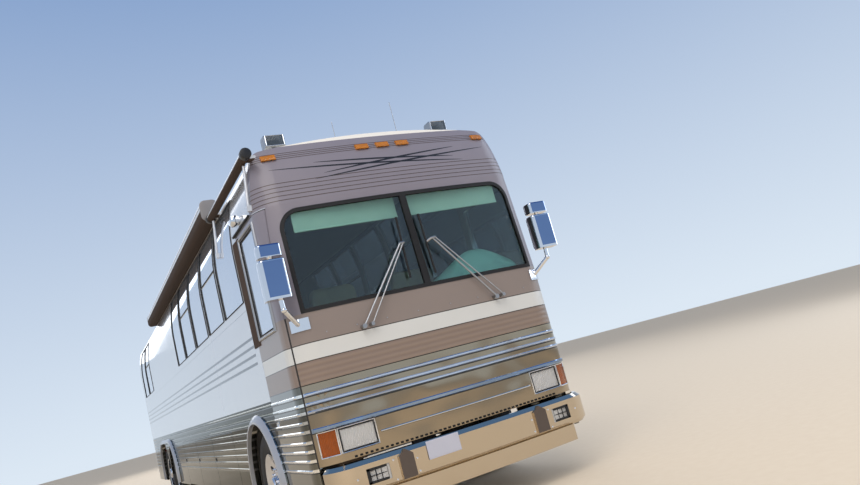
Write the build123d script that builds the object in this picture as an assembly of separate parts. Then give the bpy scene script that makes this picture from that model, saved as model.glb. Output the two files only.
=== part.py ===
from build123d import *

import os
from math import asin, cos, radians, sin, sqrt

# A 13.7 m highway motorhome on three axles, built on a coach shell.
# The front faces -Y, the street side is +X, the entry side is -X, and the ground is z = 0.
# All sizes are in millimetres.

# Overall sizes
overall_length = 13720
half_width = 1295
wall = 45
skirt_z = 380
belt_z = 1905
header_z = 2856
tumble_z = 2700
eaves_x = 1180
eaves_z = 3395
crown_z = 3475
eaves_radius = 100
bumper_reach = 150
front_radius = 9000
front_corner = 260
rear_corner = 150
rear_top_radius = 260

# The block that rounds the tail's top stands this far outside the crown and the tail,
# so that its faces cross theirs at a clear angle
rear_top_margin = 14

# Reach of the cutting blocks, well past the body on every side
far = 2000
aft = 8000

# Places along the length are distances behind the middle of the windshield's foot
nose_y = -overall_length / 2 + bumper_reach
rear_bumper_depth = 95
tail_y = overall_length / 2 - rear_bumper_depth


def station(distance):
    return nose_y + distance


cap_seam_y = station(420)
front_seam_y = station(190)
rear_seam_y = station(13180)
roof_seam_z = 3330
valance_z = 700
front_axle_y = station(1810)
wheelbase = 8040
tag_spacing = 1240
drive_axle_y = front_axle_y + wheelbase
tag_axle_y = drive_axle_y + tag_spacing

# How far the nose leans back at each height: (height, lean)
nose_leans = [(header_z, 64), (3000, 92), (3220, 160), (3400, 250), (3560, 380)]

# Bright mouldings: heights of the rows that go round the nose, and of those on the sides alone
rib_height = 24
rib_proud = 9
rib_chamfer = 7
rib_root = 12
nose_ribs = [1132, 1197, 1272]
side_ribs = [679, 757, 832, 903, 987, 1059]
brow_z = 984
brow_height = 34
brow_proud = 16

# Side windows: (front edge, rear edge) behind the windshield
window_foot_z = 2270
window_head_z = 3285
window_bar_z = 2845
window_bar = 24
side_windows = [
    (1290, 2270),
    (2360, 3350),
    (3450, 4430),
    (4530, 5500),
    (5590, 6500),
    (10950, 11880),
    (11970, 12900),
]
barred_windows = [1, 3, 5]
cab_window = (330, 1180)
cab_window_foot_z = 1900
cab_window_head_z = 2780
glass_inset = 5
glass_thick = 8

# Windshield: two panes in a rubber surround
pane_foot_z = 1940
pane_head_z = 2765
pane_outer_x = 1110
pane_post = 60
pane_corner = 150
surround = 34
surround_proud = 5
surround_depth = 30

# Doors and lids
gap = 6
hinge_radius = 10
hinge_play = 0.3
seat_play = 0.3
entry_rear = 1085
entry_foot_z = 430
entry_head_z = 2850

# The door's outer face slopes from hinge_slope_in to hinge_slope_out outside the hinge line
hinge_slope_in = 4
hinge_slope_out = 31
hinge_slope_run = 45
entry_rib_gap = 50
panel_rib_gap = 30
entry_hinge_head_z = 1880
entry_glass = (400, 930)
entry_glass_foot_z = 1880
entry_glass_head_z = 2760
bay_edges = [3270, 4800, 6350, 7900]
bay_foot_z = 400
bay_head_z = 1098
engine_door_half = 760
engine_door_foot_z = 710
engine_door_head_z = 1700
grille_half = 560
grille_foot_z = 800
grille_slots = 9
grille_pitch = 62
grille_slot = 34

# Floor and underframe
floor_z = bay_head_z + hinge_radius + 5
floor_thick = 50
step_count = 3
step_run = 215
step_foot_z = 450
step_width = 800
step_plate = 25
bay_floor_z = 415
door_room = 12
plate = 30
rail_x = 430
rail_width = 80
rail_foot_z = 780
rail_height = 170
deck_y = station(11750)
deck_z = 1650
engine_half = 370
engine_foot_z = 560
engine_height = 950
engine_y = station(12050)
engine_length = 1080

# Bumpers
bumper_foot_z = 425
bumper_head_z = 680
bumper_thick = 60
bumper_half = 1262
guard_x = 651
guard_half = 62
fog_x = 886
fog_z = 550
fog_size = (190, 60, 118)
rear_bumper_z = (430, 690)
plate_bolt_pitch = 178
plate_bolt_radius = 3.5
plate_bolt_depth = 40
plate_bolt_z = 560

# Lamps
headlamp_span = (770, 1080)
headlamp_z = (762, 958)
turn_span = (1092, 1225)
clearance_x = [-1067, -205, 0, 205, 1067]
flood_x = 868
flood_y = station(630)
flood_lift = 98
flood_size = (190, 130, 115)

# Wheels
tyre_radius = 525
rim_radius = 292
bore_play = 0.05
outer_wheel_x = 1115
kingpin_x = 975
dual_spacing = 340
dual_x = outer_wheel_x - dual_spacing / 2
hub_z = tyre_radius
spindle_radius = 40
drive_spindle_radius = 62
kingpin_radius = 30
arch_radius = 620
flare_radius = 705
flare_reach = 52
hand_holes = 8
hand_hole_radius = 30
hand_hole_circle = 205

nodes = {}


def block(low, high):
    size = [b - a for a, b in zip(low, high)]
    middle = [(a + b) / 2 for a, b in zip(low, high)]
    return Pos(*middle) * Box(*size)


def side_block(side, inner, outer, low, high):
    # A block on one side of the body, from an inner to an outer distance off the middle.
    low_x, high_x = sorted((side * inner, side * outer))
    return block((low_x, low[0], low[1]), (high_x, high[0], high[1]))


def rod(start, end, radius):
    path = Vector(*end) - Vector(*start)
    upright = (Align.CENTER, Align.CENTER, Align.MIN)
    return Plane(origin=start, z_dir=path) * Cylinder(radius, path.length, align=upright)


def join(pieces):
    body = pieces[0]
    for piece in pieces[1:]:
        body = body + piece
    return body


def group(pieces):
    # Separate solids that are kept together as one piece.
    return Compound(children=[solid for piece in pieces for solid in piece.solids()])


def outline(points):
    return make_face(Polyline(*points, close=True))


def plan_outline(inset, lean=0):
    # One level section of the body: bulged nose, straight sides and rounded corners.
    side_x = half_width - inset
    nose = nose_y + lean + inset
    rear = tail_y - inset
    sag = front_radius - sqrt(front_radius ** 2 - side_x ** 2)
    edges = Curve() + [
        ThreePointArc((-side_x, nose + sag), (0, nose), (side_x, nose + sag)),
        Line((side_x, nose + sag), (side_x, rear)),
        Line((side_x, rear), (-side_x, rear)),
        Line((-side_x, rear), (-side_x, nose + sag)),
    ]
    face = make_face(edges)
    face = fillet(face.vertices().group_by(Axis.Y)[0], front_corner - inset)
    return fillet(face.vertices().group_by(Axis.Y)[-1], rear_corner - inset)


def prism(inset, low, high, lean=0):
    return extrude(Pos(0, 0, low) * plan_outline(inset, lean), high - low)


def cross_profile(inset):
    # The upright section across the body: plumb sides, leaning tops and a crowned roof.
    side_x = half_width - inset
    top_x = eaves_x - inset
    top_z = eaves_z - inset
    drop = top_z - tumble_z
    lean = side_x - top_x
    radius = (lean ** 2 + drop ** 2) / (2 * lean)
    half_angle = asin(drop / radius) / 2
    bow_x = side_x - radius * (1 - cos(half_angle))
    bow_z = tumble_z + radius * sin(half_angle)
    edges = Curve() + [
        Line((-side_x, 0), (side_x, 0)),
        Line((side_x, 0), (side_x, tumble_z)),
        ThreePointArc((side_x, tumble_z), (bow_x, bow_z), (top_x, top_z)),
        ThreePointArc((top_x, top_z), (0, crown_z - inset), (-top_x, top_z)),
        ThreePointArc((-top_x, top_z), (-bow_x, bow_z), (-side_x, tumble_z)),
        Line((-side_x, tumble_z), (-side_x, 0)),
    ]
    face = make_face(edges)
    corners = [v for v in face.vertices() if abs(v.Y - top_z) < 1]
    return fillet(corners, eaves_radius - inset / 2)


def envelope(inset):
    # The outer form of the body, drawn in by the inset on every side.
    foot = skirt_z - inset
    foot_plan = Pos(0, 0, belt_z) * plan_outline(inset)
    head_plan = Pos(0, 0, header_z) * plan_outline(inset, nose_leans[0][1])
    lower = extrude(Pos(0, 0, foot) * plan_outline(inset), belt_z - foot)
    glass = loft([foot_plan, head_plan])
    cap = loft([Pos(0, 0, z) * plan_outline(inset, lean) for z, lean in nose_leans])
    across = extrude(Plane.XZ * cross_profile(inset), overall_length, both=True)
    margin = rear_top_margin - inset
    along = block((-far, -aft, 0), (far, tail_y + margin, crown_z + margin))
    top_edge = along.edges().filter_by(Axis.X).sort_by(Axis.Z)[-2:].sort_by(Axis.Y)[-1]
    along = fillet(top_edge, rear_top_radius - inset)
    return (lower + glass + cap) & across & along


def rib_ring(z, height=rib_height, proud=rib_proud):
    # A moulding with sloping top and bottom faces, which show as a light and a dark line.
    ring = prism(-proud, z - height / 2, z + height / 2)
    ends = ring.faces().filter_by(Axis.Z)
    ring = chamfer(ends.edges(), rib_chamfer)
    return ring - prism(rib_root, z - height, z + height)


def ribbed(panel, rings, zone):
    # Adds to a plain panel the mouldings that lie inside a zone.
    return join([panel] + [ring & zone for ring in rings])


body_form = envelope(0)
shell = body_form - envelope(wall)
nose_rings = [rib_ring(z) for z in nose_ribs]
side_rings = nose_rings + [rib_ring(z) for z in side_ribs]
side_skin = join([shell] + side_rings)
pane_sheet = envelope(glass_inset) - envelope(glass_inset + glass_thick)


def window_block(side, span, foot, head):
    return side_block(side, 900, far, (station(span[0]), foot), (station(span[1]), head))


# Window openings on each side: (side, span, foot, head, barred)
windows = []
for side in (-1, 1):
    for number, span in enumerate(side_windows):
        windows.append((side, span, window_foot_z, window_head_z, number in barred_windows))
windows.append((1, cab_window, cab_window_foot_z, cab_window_head_z, False))


def window_lights(side, span, foot, head, barred):
    # The clear openings of one window, split by a bar where it has one.
    if not barred:
        return [window_block(side, span, foot, head)]
    bar_foot = window_bar_z - window_bar / 2
    bar_head = window_bar_z + window_bar / 2
    return [window_block(side, span, foot, bar_foot), window_block(side, span, bar_head, head)]


def wheel_opening(side, y):
    drum = rod((side * 700, y, hub_z), (side * far, y, hub_z), arch_radius)
    return drum + side_block(side, 700, far, (y - arch_radius, 0), (y + arch_radius, hub_z))


def flare_section(side, y):
    # The band's section above a hub: wide root on the wall, rolled lip outside.
    root = side * (half_width - 10)
    skin = side * half_width
    lip = side * (half_width + flare_reach)
    bow = (side * (half_width + flare_reach * 0.62), (arch_radius + flare_radius) / 2 + 12)
    edges = Curve() + [
        Line((root, arch_radius), (lip, arch_radius)),
        Line((lip, arch_radius), (lip, arch_radius + 22)),
        ThreePointArc((lip, arch_radius + 22), bow, (skin, flare_radius)),
        Line((skin, flare_radius), (root, flare_radius)),
        Line((root, flare_radius), (root, arch_radius)),
    ]
    return Pos(0, y, hub_z) * (Plane.XZ * make_face(edges))


def flare_ring(side, y, low_y, high_y):
    ring = revolve(flare_section(side, y), Axis((0, y, hub_z), (1, 0, 0)), 360)
    return ring & side_block(side, 1200, far, (low_y, skirt_z + 20), (high_y, far))


def flare(side, first_y, last_y):
    # A band over one wheel, or one long band over two.
    if first_y == last_y:
        return flare_ring(side, first_y, first_y - 900, first_y + 900)
    front = flare_ring(side, first_y, first_y - 900, first_y)
    rear = flare_ring(side, last_y, last_y, last_y + 900)
    top = extrude(flare_section(side, first_y), last_y - first_y, dir=(0, 1, 0))
    return front + top + rear


axle_groups = [(front_axle_y, front_axle_y), (drive_axle_y, tag_axle_y)]


def side_wall(side):
    panel = side_skin & side_block(side, 600, far, (front_seam_y, 0), (rear_seam_y, roof_seam_z))
    panel = panel - side_block(side, 500, far, (front_seam_y - 1, header_z), (cap_seam_y, far * 2))
    for first_y, last_y in axle_groups:
        panel = panel + flare(side, first_y, last_y)
    for y in (front_axle_y, drive_axle_y, tag_axle_y):
        panel = panel - wheel_opening(side, y)
    for place, span, foot, head, barred in windows:
        if place == side:
            for light in window_lights(side, span, foot, head, barred):
                panel = panel - light
    bay_top = bay_head_z + hinge_radius + hinge_play
    bay_front = station(bay_edges[0]) - gap
    bay_rear = station(bay_edges[-1]) + gap
    return panel - side_block(side, 600, far, (bay_front, 0), (bay_rear, bay_top))


def bay_door(side, front, rear):
    # A lid under a hinge rod that lies flush inside its top edge.
    low_y = station(front) + gap
    high_y = station(rear) - gap
    hinge_x = side * (half_width - hinge_radius)
    door = side_skin & side_block(side, 600, far, (low_y, bay_foot_z), (high_y, bay_head_z))
    return door + rod((hinge_x, low_y, bay_head_z), (hinge_x, high_y, bay_head_z), hinge_radius)


def skin_x(y):
    # The half width of the body at a place on the front corner's curve.
    reach = front_radius - front_corner
    centre_x = half_width - front_corner
    centre_y = nose_y + front_radius - sqrt(reach ** 2 - centre_x ** 2)
    return centre_x + sqrt(front_corner ** 2 - (y - centre_y) ** 2)


# Body panels, split where the real ones meet
cap_zone = block((-far, -aft, header_z), (far, cap_seam_y, far * 2))
pillar_zone = block((-far, -aft, belt_z), (far, front_seam_y, header_z))


def windshield_cutter(margin):
    # The windshield's outline seen from the front, grown by a margin.
    low = pane_foot_z - margin
    high = pane_head_z + margin
    half = pane_outer_x + margin
    cutter = block((-half, nose_y - 400, low), (half, nose_y + 400, high))
    upper = cutter.edges().filter_by(Axis.Y).sort_by(Axis.Z)[-2:]
    return fillet(upper, pane_corner + margin)


opening = windshield_cutter(surround)
post = block((-pane_post / 2, -aft, 0), (pane_post / 2, aft, far * 2))
panes = windshield_cutter(0) - post
nodes["front_cap"] = (shell & (cap_zone + pillar_zone)) - opening
nodes["windshield"] = (envelope(10) - envelope(10 + glass_thick)) & panes
nodes["windshield_frame"] = ((envelope(-surround_proud) - envelope(surround_depth)) & opening) - panes
nodes["roof"] = shell & block((-far, cap_seam_y, roof_seam_z), (far, rear_seam_y, far * 2))

# Entry door, hinged on a rod just inside its front edge. Its outer face slopes away there,
# and the mouldings on both sides of the seam stop short of it, so that it can swing forward.
entry_y = front_seam_y + hinge_radius + hinge_play
entry_hinge_x = hinge_radius - skin_x(entry_y)
entry_low = (-far, entry_y, entry_foot_z + gap)
entry_high = (-600, station(entry_rear) - gap, entry_head_z - gap)
entry_zone = block(entry_low, entry_high)
entry_rib_zone = block((-far, entry_y + entry_rib_gap, entry_low[2]), entry_high)
entry_window = window_block(-1, entry_glass, entry_glass_foot_z, entry_glass_head_z)
swing_slope = (hinge_slope_out - hinge_slope_in) / hinge_slope_run
swing_points = [
    (-hinge_slope_in + swing_slope * entry_rib_gap, -entry_rib_gap),
    (-hinge_slope_out, hinge_slope_run),
    (-half_width, hinge_slope_run),
    (-half_width, -entry_rib_gap),
]
swing_wedge = Pos(entry_hinge_x, entry_y, 0) * extrude(outline(swing_points), far * 2)
entry_skin = ribbed(shell & entry_zone, side_rings, entry_rib_zone) - swing_wedge
entry_rod = rod(
    (entry_hinge_x, entry_y, entry_foot_z + gap),
    (entry_hinge_x, entry_y, entry_hinge_head_z),
    hinge_radius,
)
nodes["entry_door"] = entry_skin - entry_window + entry_rod
nodes["entry_door_glass"] = pane_sheet & entry_window
nodes["curb_wall"] = side_wall(-1) - block(
    (-far, front_seam_y - 1, entry_foot_z),
    (-600, station(entry_rear), entry_head_z),
)
nodes["street_wall"] = side_wall(1)
nodes["side_glass"] = group([
    pane_sheet & light
    for side, span, foot, head, barred in windows
    for light in window_lights(side, span, foot, head, barred)
])
for side, word in ((-1, "curb"), (1, "street")):
    for number in range(3):
        door = bay_door(side, bay_edges[number], bay_edges[number + 1])
        nodes[f"bay_door_{word}_{number + 1}"] = door

# Lower front panel with its ribs, brow moulding and lamp recesses
panel_low = (-far, -aft, valance_z)
panel_high = (far, front_seam_y, belt_z)
panel_zone = block(panel_low, panel_high)
hinge_side = block((-far, front_seam_y - panel_rib_gap, 0), (0, aft, far))
brow_zone = block((-1245, -aft, 0), (1245, station(150), far))
brow = rib_ring(brow_z, brow_height, brow_proud) & brow_zone
front_panel = ribbed(shell & panel_zone, nose_rings, panel_zone - hinge_side) + brow
lamp_blocks = []
for side in (-1, 1):
    for span in (headlamp_span, turn_span):
        low = (nose_y - 200, headlamp_z[0])
        high = (front_seam_y - 10, headlamp_z[1])
        lamp_blocks.append(side_block(side, span[0], span[1], low, high))
for lamp in lamp_blocks:
    front_panel = front_panel - lamp
nodes["front_panel"] = front_panel
lamp_sheet = prism(4, valance_z, belt_z) - prism(wall - 5, valance_z - 1, belt_z + 1)

# Front bumper: a faceted bar that wraps the corners, with a valance below and two guards
bumper_lean = -bumper_reach - half_width + bumper_half
bumper_inset = half_width - bumper_half
bumper = prism(bumper_inset, bumper_foot_z, bumper_head_z, bumper_lean)
bumper_face = bumper.faces().sort_by(Axis.Y)[0]
bumper = chamfer(bumper_face.edges().filter_by(GeomType.CIRCLE), 32)
bumper = bumper - prism(bumper_inset + bumper_thick, bumper_foot_z - 1, bumper_head_z + 1, bumper_lean)
bumper = bumper & block((-far, -aft, 0), (far, station(110), far))
valance = prism(bumper_inset + 20, 290, bumper_foot_z, bumper_lean)
valance = valance - prism(bumper_inset + 60, 280, bumper_foot_z + 1, bumper_lean)
valance = valance & block((-1010, -aft, 0), (1010, station(60), far))
fog_pockets = [
    block(
        (side * fog_x - fog_size[0] / 2, nose_y - 400, fog_z - fog_size[2] / 2),
        (side * fog_x + fog_size[0] / 2, nose_y + 20, fog_z + fog_size[2] / 2),
    )
    for side in (-1, 1)
]
guard_points = [
    (-guard_half, bumper_foot_z + 30),
    (guard_half, bumper_foot_z + 30),
    (guard_half, bumper_head_z - 50),
    (0, bumper_head_z - 4),
    (-guard_half, bumper_head_z - 50),
]
guard_root = 60
guard = extrude(Plane.XZ * outline(guard_points), bumper_reach - guard_root - 2)
guards = [Pos(side * guard_x, station(-guard_root), 0) * guard for side in (-1, 1)]
front_bumper = join([bumper, valance] + guards)
for pocket in fog_pockets:
    front_bumper = front_bumper - pocket
nodes["front_bumper"] = front_bumper
fog_body = prism(bumper_inset + 6, 0, far, bumper_lean)
fog_body = fog_body - prism(bumper_inset + bumper_thick, -1, far + 1, bumper_lean)
head_lamps = [lamp_sheet & lamp_blocks[0], lamp_sheet & lamp_blocks[2]]
nodes["headlamps"] = group(head_lamps + [fog_body & pocket for pocket in fog_pockets])

# Amber lamps: front corners and clearance lamps on the cap
amber = [lamp_sheet & lamp_blocks[1], lamp_sheet & lamp_blocks[3]]
for x in clearance_x:
    light = block((x - 62, nose_y, 3285), (x + 62, station(420), 3335))
    amber.append((envelope(-22) - body_form) & light)
nodes["amber_lamps"] = group(amber)

# Rear cap, engine door with its grille, tail lamps and bumper
rear_cap = shell & block((-far, rear_seam_y, 0), (far, aft, far * 2))
engine_zone = block(
    (-engine_door_half - gap, tail_y - 300, engine_door_foot_z - gap),
    (engine_door_half + gap, aft, engine_door_head_z + hinge_radius + hinge_play),
)
tail_blocks = [
    side_block(side, 900, 1060, (tail_y - 100, low), (tail_y + 10, low + 130))
    for side in (-1, 1)
    for low in (860, 1010, 1160)
]
bumper_stays = [
    block((side * rail_x - 40, tail_y - wall - 200, 500), (side * rail_x + 40, tail_y + 10, 550))
    for side in (-1, 1)
]
rear_cap = rear_cap - engine_zone
for cutter in tail_blocks + bumper_stays:
    rear_cap = rear_cap - cutter
nodes["rear_cap"] = rear_cap
tail_sheet = prism(0, 500, 1500) - prism(wall - 5, 499, 1501)
nodes["tail_lamps"] = group([tail_sheet & lamp for lamp in tail_blocks])
engine_door = shell & block(
    (-engine_door_half, tail_y - 200, engine_door_foot_z),
    (engine_door_half, aft, engine_door_head_z),
)
for number in range(grille_slots):
    foot = grille_foot_z + number * grille_pitch
    slot_low = (-grille_half, tail_y - 200, foot)
    slot_high = (grille_half, aft, foot + grille_slot)
    engine_door = engine_door - block(slot_low, slot_high)
hinge_y = tail_y - hinge_radius
engine_rod = rod(
    (-engine_door_half, hinge_y, engine_door_head_z),
    (engine_door_half, hinge_y, engine_door_head_z),
    hinge_radius,
)
nodes["engine_door"] = engine_door + engine_rod
rear_bar_low = (-bumper_half, tail_y + 2, rear_bumper_z[0])
rear_bar_high = (bumper_half, tail_y + rear_bumper_depth, rear_bumper_z[1])
rear_bar = block(rear_bar_low, rear_bar_high)
rear_bar = fillet(rear_bar.edges().filter_by(Axis.Z).group_by(Axis.Y)[-1], 60)
rear_bumper = join([rear_bar] + bumper_stays)
for x in (-plate_bolt_pitch / 2, plate_bolt_pitch / 2):
    mouth = (x, overall_length / 2 + 1, plate_bolt_z)
    seat_end = (x, overall_length / 2 - plate_bolt_depth, plate_bolt_z)
    rear_bumper = rear_bumper - rod(mouth, seat_end, plate_bolt_radius)
nodes["rear_bumper"] = rear_bumper

# Mirrors: a plate on the pillar, a bent arm and two stacked housings
mirror_x = 1322
mirror_y = station(-10)


def mirror_housing(low, high, width, depth):
    case = block((-width / 2, -depth / 2, low), (width / 2, depth / 2, high))
    case = fillet(case.edges().filter_by(Axis.Z), 34)
    return fillet(case.faces().sort_by(Axis.Z)[-1].edges(), 16)


def mirror(side):
    base = side_block(side, 1100, 1240, (station(-60), 1770), (station(260), 1870))
    base = base & (prism(-12, 1700, belt_z) - prism(0, 1699, belt_z + 1))
    joint = (side * 1180, station(105), 1825)
    elbow = (side * 1300, mirror_y, 1950)
    housings = mirror_housing(2040, 2365, 215, 130) + mirror_housing(2385, 2490, 200, 120)
    case = Pos(side * mirror_x, mirror_y, 0) * housings
    neck = rod((side * mirror_x, mirror_y, 2300), (side * mirror_x, mirror_y, 2420), 22)
    arm = rod(joint, elbow, 20) + rod(elbow, (side * 1305, mirror_y, 2060), 20) + Pos(*elbow) * Sphere(24)
    return (base + arm + case + neck) - body_form


nodes["mirrors"] = group([mirror(-1), mirror(1)])


envelope_glazed = body_form + (envelope(-surround_proud) & opening)


# Wipers: a pivot boss, two parallel arms and a blade, parked upright beside the post
def wiper_blade(side, blade_x):
    foot = (blade_x, station(-14), 2010)
    head = (blade_x - side * 15, station(-2), 2560)
    return rod(foot, head, 10) - envelope_glazed


def wiper(side, pivot_x, head_x, blade_x):
    boss = rod((pivot_x, station(30), 1690), (pivot_x, station(-40), 1690), 20)
    twin = rod((pivot_x + 75, station(30), 1695), (pivot_x + 75, station(-40), 1695), 16)
    arm = rod((pivot_x, station(-32), 1690), (head_x, station(-42), 2320), 8)
    second = rod((pivot_x + 75, station(-32), 1695), (head_x + 30, station(-42), 2320), 6)
    bridge = rod((head_x, station(-42), 2320), (blade_x, station(-8), 2300), 12)
    link = rod((head_x - 8, station(-42), 2320), (head_x + 38, station(-42), 2320), 10)
    wiper_arms = join([boss, twin, arm, second, bridge, link])
    return wiper_arms - envelope_glazed - wiper_blade(side, blade_x)


nodes["wipers"] = group([wiper(-1, -681, -186, -160), wiper(1, 623, 129, 90)])
nodes["wiper_blades"] = group([wiper_blade(-1, -160), wiper_blade(1, 90)])


# Awnings: a short roller over the entry and a long cased one along the eaves
def entry_awning():
    front, rear = station(180), station(2080)
    roller = rod((-1268, front, 3345), (-1268, rear, 3345), 42)
    pieces = [roller]
    for y in (station(330), station(1950)):
        pieces.append(block((-1268, y - 20, 3320), (-1150, y + 20, 3370)))
        pieces.append(rod((-1262, y, 3340), (-1306, y, 2900), 13))
        pieces.append(block((-1318, y - 18, 2880), (-1255, y + 18, 2930)))
    return join(pieces) - body_form


def patio_awning():
    front, rear = station(2100), station(9080)
    section = Plane.XZ * Pos(-1252, 3452) * RectangleRounded(190, 220, 60)
    case = Pos(0, front, 0) * extrude(section, rear - front, dir=(0, 1, 0))
    return case - body_form


nodes["awnings"] = group([entry_awning(), patio_awning()])


# Roof fittings
def roof_z(x):
    # Height of the roof's crown at a distance off the middle.
    rise = crown_z - eaves_z
    radius = (eaves_x ** 2 + rise ** 2) / (2 * rise)
    return crown_z - radius + sqrt(radius ** 2 - x ** 2)


def flood(side):
    low = roof_z(flood_x) + flood_lift
    case = block(
        (side * flood_x - flood_size[0] / 2, flood_y - flood_size[1] / 2, low),
        (side * flood_x + flood_size[0] / 2, flood_y + flood_size[1] / 2, low + flood_size[2]),
    )
    case = chamfer(case.edges().filter_by(Axis.X), 14)
    foot_low = (side * flood_x, flood_y, roof_z(flood_x) - 40)
    foot = rod(foot_low, (side * flood_x, flood_y, low + 10), 22)
    return (case + foot) - body_form


def antenna(x, height):
    y = station(800)
    foot = rod((x, y, crown_z - 60), (x, y, crown_z + 60), 16)
    whip = rod((x, y, crown_z + 40), (x, y, crown_z + height), 4)
    return (foot + whip) - body_form


def air_unit(y):
    case = block((-340, y - 480, crown_z - 40), (340, y + 480, crown_z + 235))
    case = fillet(case.edges().filter_by(Axis.Z), 140)
    case = chamfer(case.faces().sort_by(Axis.Z)[-1].edges(), 70)
    return case - body_form


nodes["roof_lamps"] = group([flood(-1), flood(1), antenna(-175, 340), antenna(510, 510)])
nodes["roof_units"] = group([air_unit(station(y)) for y in (4600, 8200, 11600)])

# Cabin floor with the entry stairs, the rear deck and the wall behind the cab
inner = half_width - wall
floor_half = inner - seat_play
stair_x = -(inner - step_count * step_run)
floor_form = prism(wall + seat_play, floor_z, floor_z + floor_thick)
stair_front = station(255)
floor = floor_form & block((-far, -aft, 0), (far, deck_y, far))
floor = floor - block((-far, stair_front, 0), (stair_x, stair_front + step_width, far))

# The floor stays clear of the entry door and of its inner corner, which turns about the hinge
door_low = (-far, front_seam_y - gap, 0)
door_high = (-inner + door_room, station(entry_rear) + gap, far)
hinge_foot = (entry_hinge_x, entry_y, floor_z - 1)
hinge_head = (entry_hinge_x, entry_y, floor_z + floor_thick + 1)
floor = floor - block(door_low, door_high) - rod(hinge_foot, hinge_head, wall + gap)
treads = []
step_rise = (floor_z + floor_thick - step_foot_z) / step_count
for number in range(step_count):
    high = floor_z + floor_thick - number * step_rise
    x = stair_x - number * step_run
    foot = high - step_rise - step_plate
    stair_rear = stair_front + step_width
    treads.append(block((x - step_plate, stair_front, foot), (x, stair_rear, high)))
    treads.append(block((x - step_run, stair_front, foot), (x, stair_rear, foot + step_plate)))
stairs = join(treads) & prism(wall + gap, 0, far)
deck = block((-floor_half, deck_y, deck_z), (floor_half, rear_seam_y - 40, deck_z + floor_thick))
bulkhead = block((-floor_half, deck_y - plate, floor_z), (floor_half, deck_y, deck_z + floor_thick))
nodes["cabin_floor"] = join([floor, stairs, bulkhead, deck])

# Luggage bays: a floor and the bulkheads between the doors
bay_front = station(bay_edges[0]) - 40
bay_rear = station(bay_edges[-1]) + 40
bay_side = inner - 10
bay_parts = [block((-bay_side, bay_front, bay_floor_z - plate), (bay_side, bay_rear, bay_floor_z))]
for y in [bay_front] + [station(e) - plate / 2 for e in bay_edges[1:-1]] + [bay_rear - plate]:
    bay_parts.append(block((-bay_side, y, bay_floor_z - plate), (bay_side, y + plate, floor_z)))
nodes["luggage_bays"] = join(bay_parts)


# Underframe: rails fore and aft of the bays, cross members, posts and the engine cradle
rail_inner = rail_x - rail_width / 2
rail_outer = rail_x + rail_width / 2
bumper_back = prism(bumper_inset + bumper_thick, 0, far, bumper_lean)
horn_z = (560, 640)
horn_y = (nose_y - 120, station(120))
drop_y = (station(60), station(120))
cradle_z = engine_foot_z - 60
post_places = [700, 2900, 8500, 9250, 11000]
cradle_places = [engine_y + 200, engine_y + engine_length - 200]


def beam(side, low, high):
    return side_block(side, rail_inner, rail_outer, low, high)


def cross_member(y):
    return block((-rail_inner, y - 40, rail_foot_z), (rail_inner, y + 40, rail_foot_z + 100))


rails = []
cradle = []
horns = []
posts = []
for side in (-1, 1):
    rail_head_z = rail_foot_z + rail_height
    rails.append(beam(side, (station(wall + 30), rail_foot_z), (bay_front, rail_head_z)))
    rails.append(beam(side, (bay_rear, rail_foot_z), (tail_y - 160, rail_head_z)))
    horns.append(beam(side, (horn_y[0], horn_z[0]), (horn_y[1], horn_z[1])) & bumper_back)
    horns.append(beam(side, (drop_y[0], horn_z[1]), (drop_y[1], rail_foot_z)) - rails[-2])
    for y in cradle_places:
        cradle.append(beam(side, (y - 40, cradle_z), (y + 40, rail_foot_z)))
    for distance in post_places:
        y = station(distance)
        low = (y - 30, rail_foot_z + rail_height)
        posts.append(side_block(side, rail_inner, rail_inner + 60, low, (y + 30, floor_z)))
for y in cradle_places:
    cradle.append(block((-rail_inner, y - 40, cradle_z), (rail_inner, y + 40, engine_foot_z)))
nodes["frame_rails"] = group(rails)
nodes["frame_posts"] = group(posts + horns)
cross_places = [350, 1200, 2420, 8300, 9300, 10400]
nodes["cross_members"] = group([cross_member(station(distance)) for distance in cross_places])
nodes["engine_cradle"] = group(cradle)
nodes["engine_block"] = block(
    (-engine_half, engine_y, engine_foot_z),
    (engine_half, engine_y + engine_length, engine_foot_z + engine_height),
)


# Axles with their air springs
def air_spring(x, y, foot, radius):
    height = rail_foot_z - foot
    rings = [rod((x, y, foot), (x, y, foot + height), radius)]
    waists = [foot + i * height / 3 for i in (1, 2)]
    necks = [rod((x, y, waist - 8), (x, y, waist + 8), radius + 8) for waist in waists]
    return rings + necks


def steer_axle():
    boss_half = 60
    boss_radius = 56
    drop = [
        (-kingpin_x, hub_z - 45),
        (-640, 400),
        (640, 400),
        (kingpin_x, hub_z - 45),
        (kingpin_x, hub_z + 45),
        (600, 500),
        (-600, 500),
        (-kingpin_x, hub_z + 45),
    ]
    beam = extrude(Plane.XZ * outline(drop), 50, both=True)
    pieces = [Pos(0, front_axle_y, 0) * beam]
    for side in (-1, 1):
        x = side * kingpin_x
        boss_foot = (x, front_axle_y, hub_z - boss_half)
        pieces.append(rod(boss_foot, (x, front_axle_y, hub_z + boss_half), boss_radius))
        pieces += air_spring(side * rail_x, front_axle_y, 495, 105)
    axle = join(pieces)
    for side in (-1, 1):
        x = side * kingpin_x
        bore_foot = (x, front_axle_y, hub_z - 200)
        bore_head = (x, front_axle_y, hub_z + 200)
        bore = rod(bore_foot, bore_head, kingpin_radius + bore_play)
        axle = axle - bore
    return axle


def dead_axle(y, tube, spindle, tip):
    pieces = [rod((-700, y, hub_z), (700, y, hub_z), tube)]
    for side in (-1, 1):
        pieces.append(rod((side * 690, y, hub_z), (side * tip, y, hub_z), spindle))
        pieces += air_spring(side * rail_x, y, hub_z + tube - 12, 115)
    return pieces


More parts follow.
